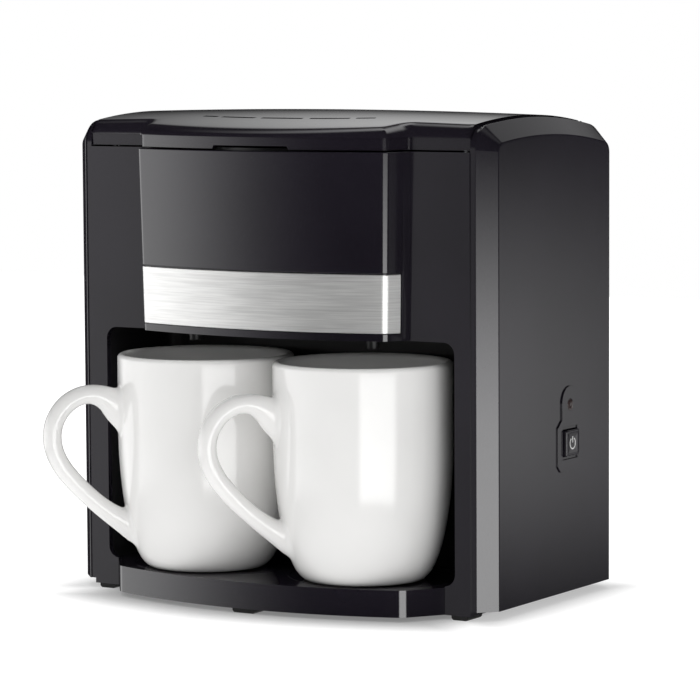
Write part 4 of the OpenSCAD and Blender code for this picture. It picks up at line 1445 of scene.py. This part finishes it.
    def fillet_curve(self, free: Array, hit: Array, middle: Array) -> Array:
        """Curve from the wall out to the handle.

        Args:
            free: where it meets the handle.
            hit: where the handle would meet the wall.
            middle: the middle of the joint.

        Returns:
            Points from the wall to the handle.
        """
        away = hit - middle
        away /= np.linalg.norm(away)
        foot = hit + away * self.fillet * 1.15
        scale = (self.outer(foot[2]) - 0.05) / math.hypot(foot[0], foot[1])
        foot = np.array([foot[0] * scale, foot[1] * scale, foot[2]])
        t = np.linspace(0, 1, 11)[:, None]
        return (1 - t) ** 2 * foot + 2 * t * (1 - t) * hit + t ** 2 * free

    def to_machine(self, points: Array) -> Array:
        """Turns mug coordinates into fascia coordinates.

        Args:
            points: any array of points.

        Returns:
            The moved points.
        """
        a = math.radians(self.turn_deg)
        turn = np.array([[math.cos(a), math.sin(a), 0], [-math.sin(a), math.cos(a), 0], [0, 0, 1]])
        return points @ turn + (self.centre_x, self.centre_y, self.rest_z)

    def build(self) -> None:
        """Makes the mug."""
        sketch = Sketch().grid(self.to_machine(revolved(self.profile(), 180)), close_columns=True)
        sketch.grid(self.to_machine(self.trimmed()), close_columns=True, flip=True)
        made = sketch.build(self.node + "_glazed", WHITE_GLAZE, 50.0)
        self.show(made, self.body, [self.node], WHITE_GLAZE)


@dataclass
class Switch(Assembly):
    """The push button with its printed symbol, and the lamp lens."""

    width: float = 11.5
    height: float = 11.1
    face_x: float = 104.95
    lamp_z: float = 83.4
    lens_back: float = -6.85
    ring_r: float = 2.35
    ring_drop: float = 0.2
    ring_deg: tuple[float, float] = (125.0, 415.0)
    bar_z: tuple[float, float] = (0.1, 2.7)
    line_half: float = 0.27
    line_rise: float = 0.05
    dish: float = 0.38

    def square(self, shrink: float, x: float, round_r: float) -> Array:
        """A rounded square loop of the button."""
        flat = rounded_box(self.width / 2 - shrink, self.height / 2 - shrink, round_r, 6)
        return np.column_stack([np.full(len(flat), x), flat + (SWITCH_Y, SWITCH_Z)])

    def build_button(self) -> None:
        """Makes the button: flange, shank, rounded edge and dished face."""
        f = self.face_x
        loops = [(-1.5, 93.7, 0.5), (-1.5, 95.7, 0.5), (0.02, 95.7, 0.6), (0.0, f - 0.7, 0.6),
                 (0.08, f - 0.3, 0.6), (0.28, f - 0.08, 0.6), (0.55, f, 0.6), (0.95, f - 0.02, 0.6),
                 (1.3, f - 0.3, 0.6), (3.5, f - 0.42, 0.8)]
        rows = np.array([self.square(*loop) for loop in loops])
        sketch = Sketch().grid(rows, close_columns=True, caps=True)
        made = sketch.build("power_button_moulded", GLOSS, 32.0, level=True)
        self.show(made, "button", ["power_button"], GLOSS)

    def build_symbol(self) -> None:
        """Makes the printed ring and bar."""
        x, half = self.face_x - self.dish, self.line_half
        section = ((-half, 0.0), (-half, self.line_rise), (half, self.line_rise), (half, 0.0))
        ring = [[(x + h, SWITCH_Y + (self.ring_r + d) * math.cos(a),
                  SWITCH_Z - self.ring_drop + (self.ring_r + d) * math.sin(a)) for d, h in section]
                for a in np.linspace(*np.radians(self.ring_deg), 40)]
        bar = [[(x + h, SWITCH_Y + d, SWITCH_Z + z) for d, h in section] for z in self.bar_z]
        sketch = Sketch()
        for rows in (ring, bar):
            sketch.grid(np.array(rows), close_columns=True, caps=True)
        self.show(sketch.build("power_symbol_print", WHITE_PRINT, 40.0), "button", [], WHITE_PRINT)

    def build_lens(self) -> None:
        """Makes the domed lamp lens."""
        profile = [(0.0, self.lens_back), (2.45, self.lens_back), (2.45, 0.5), (2.38, 0.62),
                   (2.2, 0.78), (1.7, 1.0), (1.0, 1.13), (0.0, 1.18)]
        rows = revolved(profile, 40)[..., [2, 0, 1]] + (HALF_WIDTH, SWITCH_Y, self.lamp_z)
        sketch = Sketch().grid(rows, close_columns=True)
        self.show(sketch.build("indicator_lens_moulded", RED_LENS, 40.0), "machine", ["indicator_lens"],
                  RED_LENS)

    def build(self) -> None:
        """Makes the button, its symbol and the lens."""
        self.build_button()
        self.build_symbol()
        self.build_lens()


@dataclass
class WireCup(Assembly):
    """The filter's gold wire cup, woven from real wires."""

    centre_y: float = 18.0
    foot_r: float = 16.5
    rim_r: float = 27.75
    foot_z: float = 146.2
    cone_z: float = 181.3
    rim_z: float = 183.9
    around: int = 96
    foot_rings: int = 14
    rows: int = 34
    wire: float = 0.16

    def build(self) -> None:
        """Makes the wires with a node group, and gives them to the basket."""
        rings = [(self.foot_r * i / self.foot_rings, self.foot_z) for i in range(1, self.foot_rings)]
        rings += [(self.foot_r + (self.rim_r - self.foot_r) * t,
                   self.foot_z + (self.cone_z - self.foot_z) * t)
                  for t in np.linspace(0.0, 1.0, self.rows + 1)]
        rings.append((self.rim_r, self.rim_z))
        edges = []
        for i, (r, _) in enumerate(rings):
            for k in range(self.around):
                at = i * self.around + k
                edges.append((at, i * self.around + (k + 1) % self.around))
                if i and (k % 4 == 0 or r > self.foot_r / 2):
                    edges.append((at - self.around, at))
        points = (revolved(rings, self.around) + (0.0, self.centre_y + FASCIA_Y, 0.0)) * MM
        mesh = bpy.data.meshes.new("cup")
        mesh.from_pydata(points.reshape(-1, 3).tolist(), edges, [])
        made = WireGraph(GOLD).bake(mesh, {"Wire radius": self.wire * MM})
        cup = Workshop.place("filter_wire_cup", made, GOLD, 60.0)
        self.show(cup, "filter_basket", ["filter_mesh"], GOLD)


@dataclass(frozen=True)
class Glow:
    """A curved reflection wall round the machine, bright in its middle and faded at its ends."""

    name: str
    azimuths: tuple[float, float, float, float]
    heights: tuple[float, float, float, float]
    strength: float
    falloff: float = 1.0
    distance: float = 1.6
    across: int = 48
    up: int = 16

    @staticmethod
    def band(at: Array, marks: Sequence[float]) -> Array:
        """Smooth band: 0 outside the outer marks and 1 between the inner ones.

        Args:
            at: where to read it.
            marks: start, full from, full to and end.

        Returns:
            The band's values.
        """
        rise = np.clip((at - marks[0]) / max(marks[1] - marks[0], 1e-6), 0, 1)
        fall = np.clip((marks[3] - at) / max(marks[3] - marks[2], 1e-6), 0, 1)
        share = np.minimum(rise, fall)
        return share * share * (3 - 2 * share)

    def mesh(self) -> Mesh:
        """The wall, with its brightness in a colour attribute.

        Returns:
            The mesh.
        """
        azimuth = np.linspace(self.azimuths[0], self.azimuths[3], self.across + 1)
        height = np.linspace(self.heights[0], self.heights[3], self.up + 1)
        turn, z = np.meshgrid(np.radians(azimuth), height)
        level = np.outer(self.band(height, self.heights), self.band(azimuth, self.azimuths) ** self.falloff)
        points = np.stack([np.sin(turn) * self.distance, -np.cos(turn) * self.distance, z], -1)
        n = self.across + 1
        faces = [(r * n + c, r * n + c + 1, (r + 1) * n + c + 1, (r + 1) * n + c)
                 for r in range(self.up) for c in range(self.across)]
        made = bpy.data.meshes.new(self.name)
        made.from_pydata(points.reshape(-1, 3).tolist(), [], faces)
        glow = made.color_attributes.new("glow", "FLOAT_COLOR", "POINT")
        values = np.repeat(level.reshape(-1, 1), 4, axis=1)
        glow.data.foreach_set("color", values.ravel().astype(np.float32))
        return made

    def paint(self, graph: Graph) -> Value:
        """Builds the wall's light."""
        level = graph.value("ShaderNodeAttribute", {"attribute_name": "glow"}, None, "Color")
        return graph.value("ShaderNodeEmission", None, {"Color": level, "Strength": self.strength})

    def build(self) -> None:
        """Makes the wall, seen by reflections only."""
        mesh = self.mesh()
        mesh.materials.append(painted(self.name, self.paint))
        shown = Workshop.link(self.name, mesh)
        shown.visible_camera = False
        shown.visible_diffuse = False
        shown.visible_shadow = False


@dataclass(frozen=True)
class Lamp:
    """A soft area light that reflections don't see: metres, and watts."""

    name: str
    place: tuple[float, float, float]
    size: tuple[float, float]
    power: float
    aim: tuple[float, float, float] = (0.0, -0.03, 0.08)

    def build(self) -> None:
        """Makes the light."""
        data = bpy.data.lights.new(self.name, "AREA")
        data.shape = "RECTANGLE"
        data.size, data.size_y = self.size
        data.energy = self.power
        light = Workshop.link(self.name, data)
        light.location = self.place
        light.rotation_mode = "QUATERNION"
        light.rotation_quaternion = (Vector(self.aim) - Vector(self.place)).to_track_quat("-Z", "Y")
        light.visible_glossy = False
        light.visible_camera = False


@dataclass(frozen=True)
class Floor:
    """The pale floor, in metres of the row frame, with a painted shadow: its glow is darker close to the
    machine.

    Its glow rises from the painted shadow's level over the contact band, then over the spread.
    """

    reach: float = 1.5
    drop: float = 0.00002
    middle_y: float = 0.023
    half_depth: float = 0.056
    bow_y: float = 0.125
    apron_inset: float = 0.012
    contact: tuple[float, float] = (-0.015, 0.022)
    spread: float = 0.7
    painted_shadow: float = 0.2
    close: float = 0.92
    far: float = 1.1
    base: tuple[float, float] = (0.58, 0.62)

    def distance(self, graph: Graph) -> Value:
        """Distance from the machine's footprint: its box and the bowed apron before it.

        Args:
            graph: the floor's graph.

        Returns:
            The distance.
        """
        x, y = graph.along(Axis.X), graph.along(Axis.Y)
        side = graph.math("ABSOLUTE", x) - HALF_WIDTH * MM
        beside = graph.math("MAXIMUM", side, 0.0)
        behind = graph.math("MAXIMUM", graph.math("ABSOLUTE", y - self.middle_y) - self.half_depth, 0.0)
        before = y - self.bow_y
        bowed = graph.math("SQRT", x * x + before * before) - BOW_R * MM
        apron = graph.math("MAXIMUM", graph.math("MAXIMUM", bowed, side + self.apron_inset), y)
        return graph.math("MINIMUM", graph.math("SQRT", beside * beside + behind * behind), apron)

    def paint(self, graph: Graph) -> Value:
        """Builds the floor's surface, with the painted shadow round the machine.

        Args:
            graph: its material's graph.

        Returns:
            The shader.
        """
        near = self.distance(graph)
        # painted contact shadow and painted shade: the glow is lowered near the machine's footprint,
        # whatever the lamps do
        close = graph.mix(near.ramp(*self.contact), grey(self.painted_shadow), grey(self.close))
        return graph.principled({
            "Base Color": graph.mix(graph.noise(300.0, 2.0), *map(grey, self.base)),
            "Roughness": 0.9, "Specular IOR Level": 0.0, "Emission Strength": 1.0,
            "Emission Color": graph.mix(near.ramp(0.0, self.spread), close, grey(self.far)),
        })

    def build(self) -> None:
        """Makes the floor."""
        mesh = bpy.data.meshes.new("floor")
        corners = [(x * self.reach, y * self.reach, -self.drop) for x, y in SQUARE]
        mesh.from_pydata(corners, [], [(0, 1, 2, 3)])
        mesh.materials.append(painted("floor_white", self.paint))
        floor = Workshop.link("floor", mesh)
        floor.visible_glossy = False


@dataclass(frozen=True)
class Shot:
    """The camera. Its place is in millimetres from the fascia plane, its angles in radians."""

    place: tuple[float, float, float] = (808.70, -1274.09, 248.05)
    yaw: float = 0.5449
    pitch: float = 0.093
    roll: float = -0.0057
    lens: float = 186.1
    sensor: float = 36.0
    clip: tuple[float, float] = (0.05, 30.0)

    def build(self) -> None:
        """Places the camera."""
        turn, level = math.cos(self.yaw), math.cos(self.pitch)
        ahead = Vector((-math.sin(self.yaw) * level, turn * level, -math.sin(self.pitch)))
        right = Vector((turn, math.sin(self.yaw), 0.0))
        up = right.cross(ahead)
        r = right * math.cos(self.roll) + up * math.sin(self.roll)
        u = up * math.cos(self.roll) - right * math.sin(self.roll)
        data = bpy.data.cameras.new("camera")
        data.lens = self.lens
        data.sensor_width = self.sensor
        data.clip_start, data.clip_end = self.clip
        shot = Workshop.link("camera", data)
        place = (Vector(self.place) + Vector((0.0, FASCIA_Y, 0.0))) * MM
        shot.matrix_world = Matrix.Translation(place) @ Matrix((r, u, -ahead)).transposed().to_4x4()
        bpy.context.scene.camera = shot


@dataclass
class Stage:
    """Floor, world, lights, reflection walls and camera."""

    glows: Sequence[Glow] = (
        Glow("glow_left", (-125.0, -95.0, -66.0, 8.0), (-0.4, -0.38, 0.28, 0.6), 2.4, 2.2),
        Glow("glow_right", (24.0, 30.0, 67.0, 75.0), (-0.5, -0.48, -0.14, 0.17), 7.0),
        Glow("glow_side", (125.0, 138.0, 145.0, 158.0), (-0.3, -0.1, -0.06, 0.2), 0.97),
        Glow("glow_crest", (150.0, 165.0, 190.0, 200.0), (0.6, 0.9, 1.5, 2.2), 0.45, distance=1.7),
        Glow("glow_behind", (196.0, 203.0, 209.0, 226.0), (0.27, 0.84, 1.1, 1.5), 1.15),
        Glow("glow_east", (85.0, 91.0, 98.0, 123.0), (-0.7, -0.4, -0.2, 0.25), 0.4, distance=1.65),
        Glow("glow_back", (160.0, 172.0, 184.0, 205.0), (-0.7, -0.4, -0.2, 0.3), 0.9, distance=1.65),
        Glow("glow_low", (-180.0, -180.0, 180.0, 180.0), (-3.4, -1.8, -0.9, -0.55), 0.8, distance=1.75),
        Glow("glow_high", (90.0, 150.0, 210.0, 270.0), (1.7, 3.2, 3.6, 6.0), 2.4, distance=1.75),
    )
    lamps: Sequence[Lamp] = (
        Lamp("key", (-0.8, -1.7, 1.3), (1.2, 1.2), 5.0),
        Lamp("front", (0.5, -1.6, 0.42), (1.2, 0.4), 1.6),
        Lamp("fill", (1.5, -1.0, 0.9), (1.0, 1.2), 3.5),
        Lamp("top", (0.0, 0.1, 1.8), (1.6, 1.6), 9.0, (0.0, 0.0, 0.1)),
    )
    dim: float = 0.3
    dim_glossy: Colour = (0.024, 0.022, 0.025)

    def world(self) -> None:
        """Makes the world: white to the camera, dim to everything else."""
        world = bpy.data.worlds.new("studio")
        bpy.context.scene.world = world
        world.use_nodes = True
        graph = Graph(world.node_tree)
        camera, glossy = (graph.value("ShaderNodeLightPath", out=f"Is {kind} Ray")
                          for kind in ("Camera", "Glossy"))
        dim = graph.mix(glossy, grey(self.dim), rgba(self.dim_glossy))
        colour = graph.mix(camera, dim, grey(1.0))
        back = graph.value("ShaderNodeBackground", None, {"Color": colour, "Strength": 1.0})
        graph.output(back, "ShaderNodeOutputWorld")

    def build(self) -> None:
        """Makes the whole stage."""
        Floor().build()
        self.world()
        for item in (*self.glows, *self.lamps, Shot()):
            item.build()
        bpy.context.scene.view_settings.view_transform = "Standard"


def main() -> None:
    """Builds the looks on the CAD frame."""
    for leftover in list(bpy.data.objects):
        bpy.data.objects.remove(leftover)
    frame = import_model()
    CadPieces(frame).build()
    SidePanels(frame).build()
    HeadTrims(frame).build()
    Lid(frame).build()
    Mug(frame).build()
    Mug(frame, node="right_mug", body="mug_right", centre_x=39.06).build()
    Switch(frame).build()
    WireCup(frame).build()
    Stage().build()


if __name__ == "__main__":
    main()
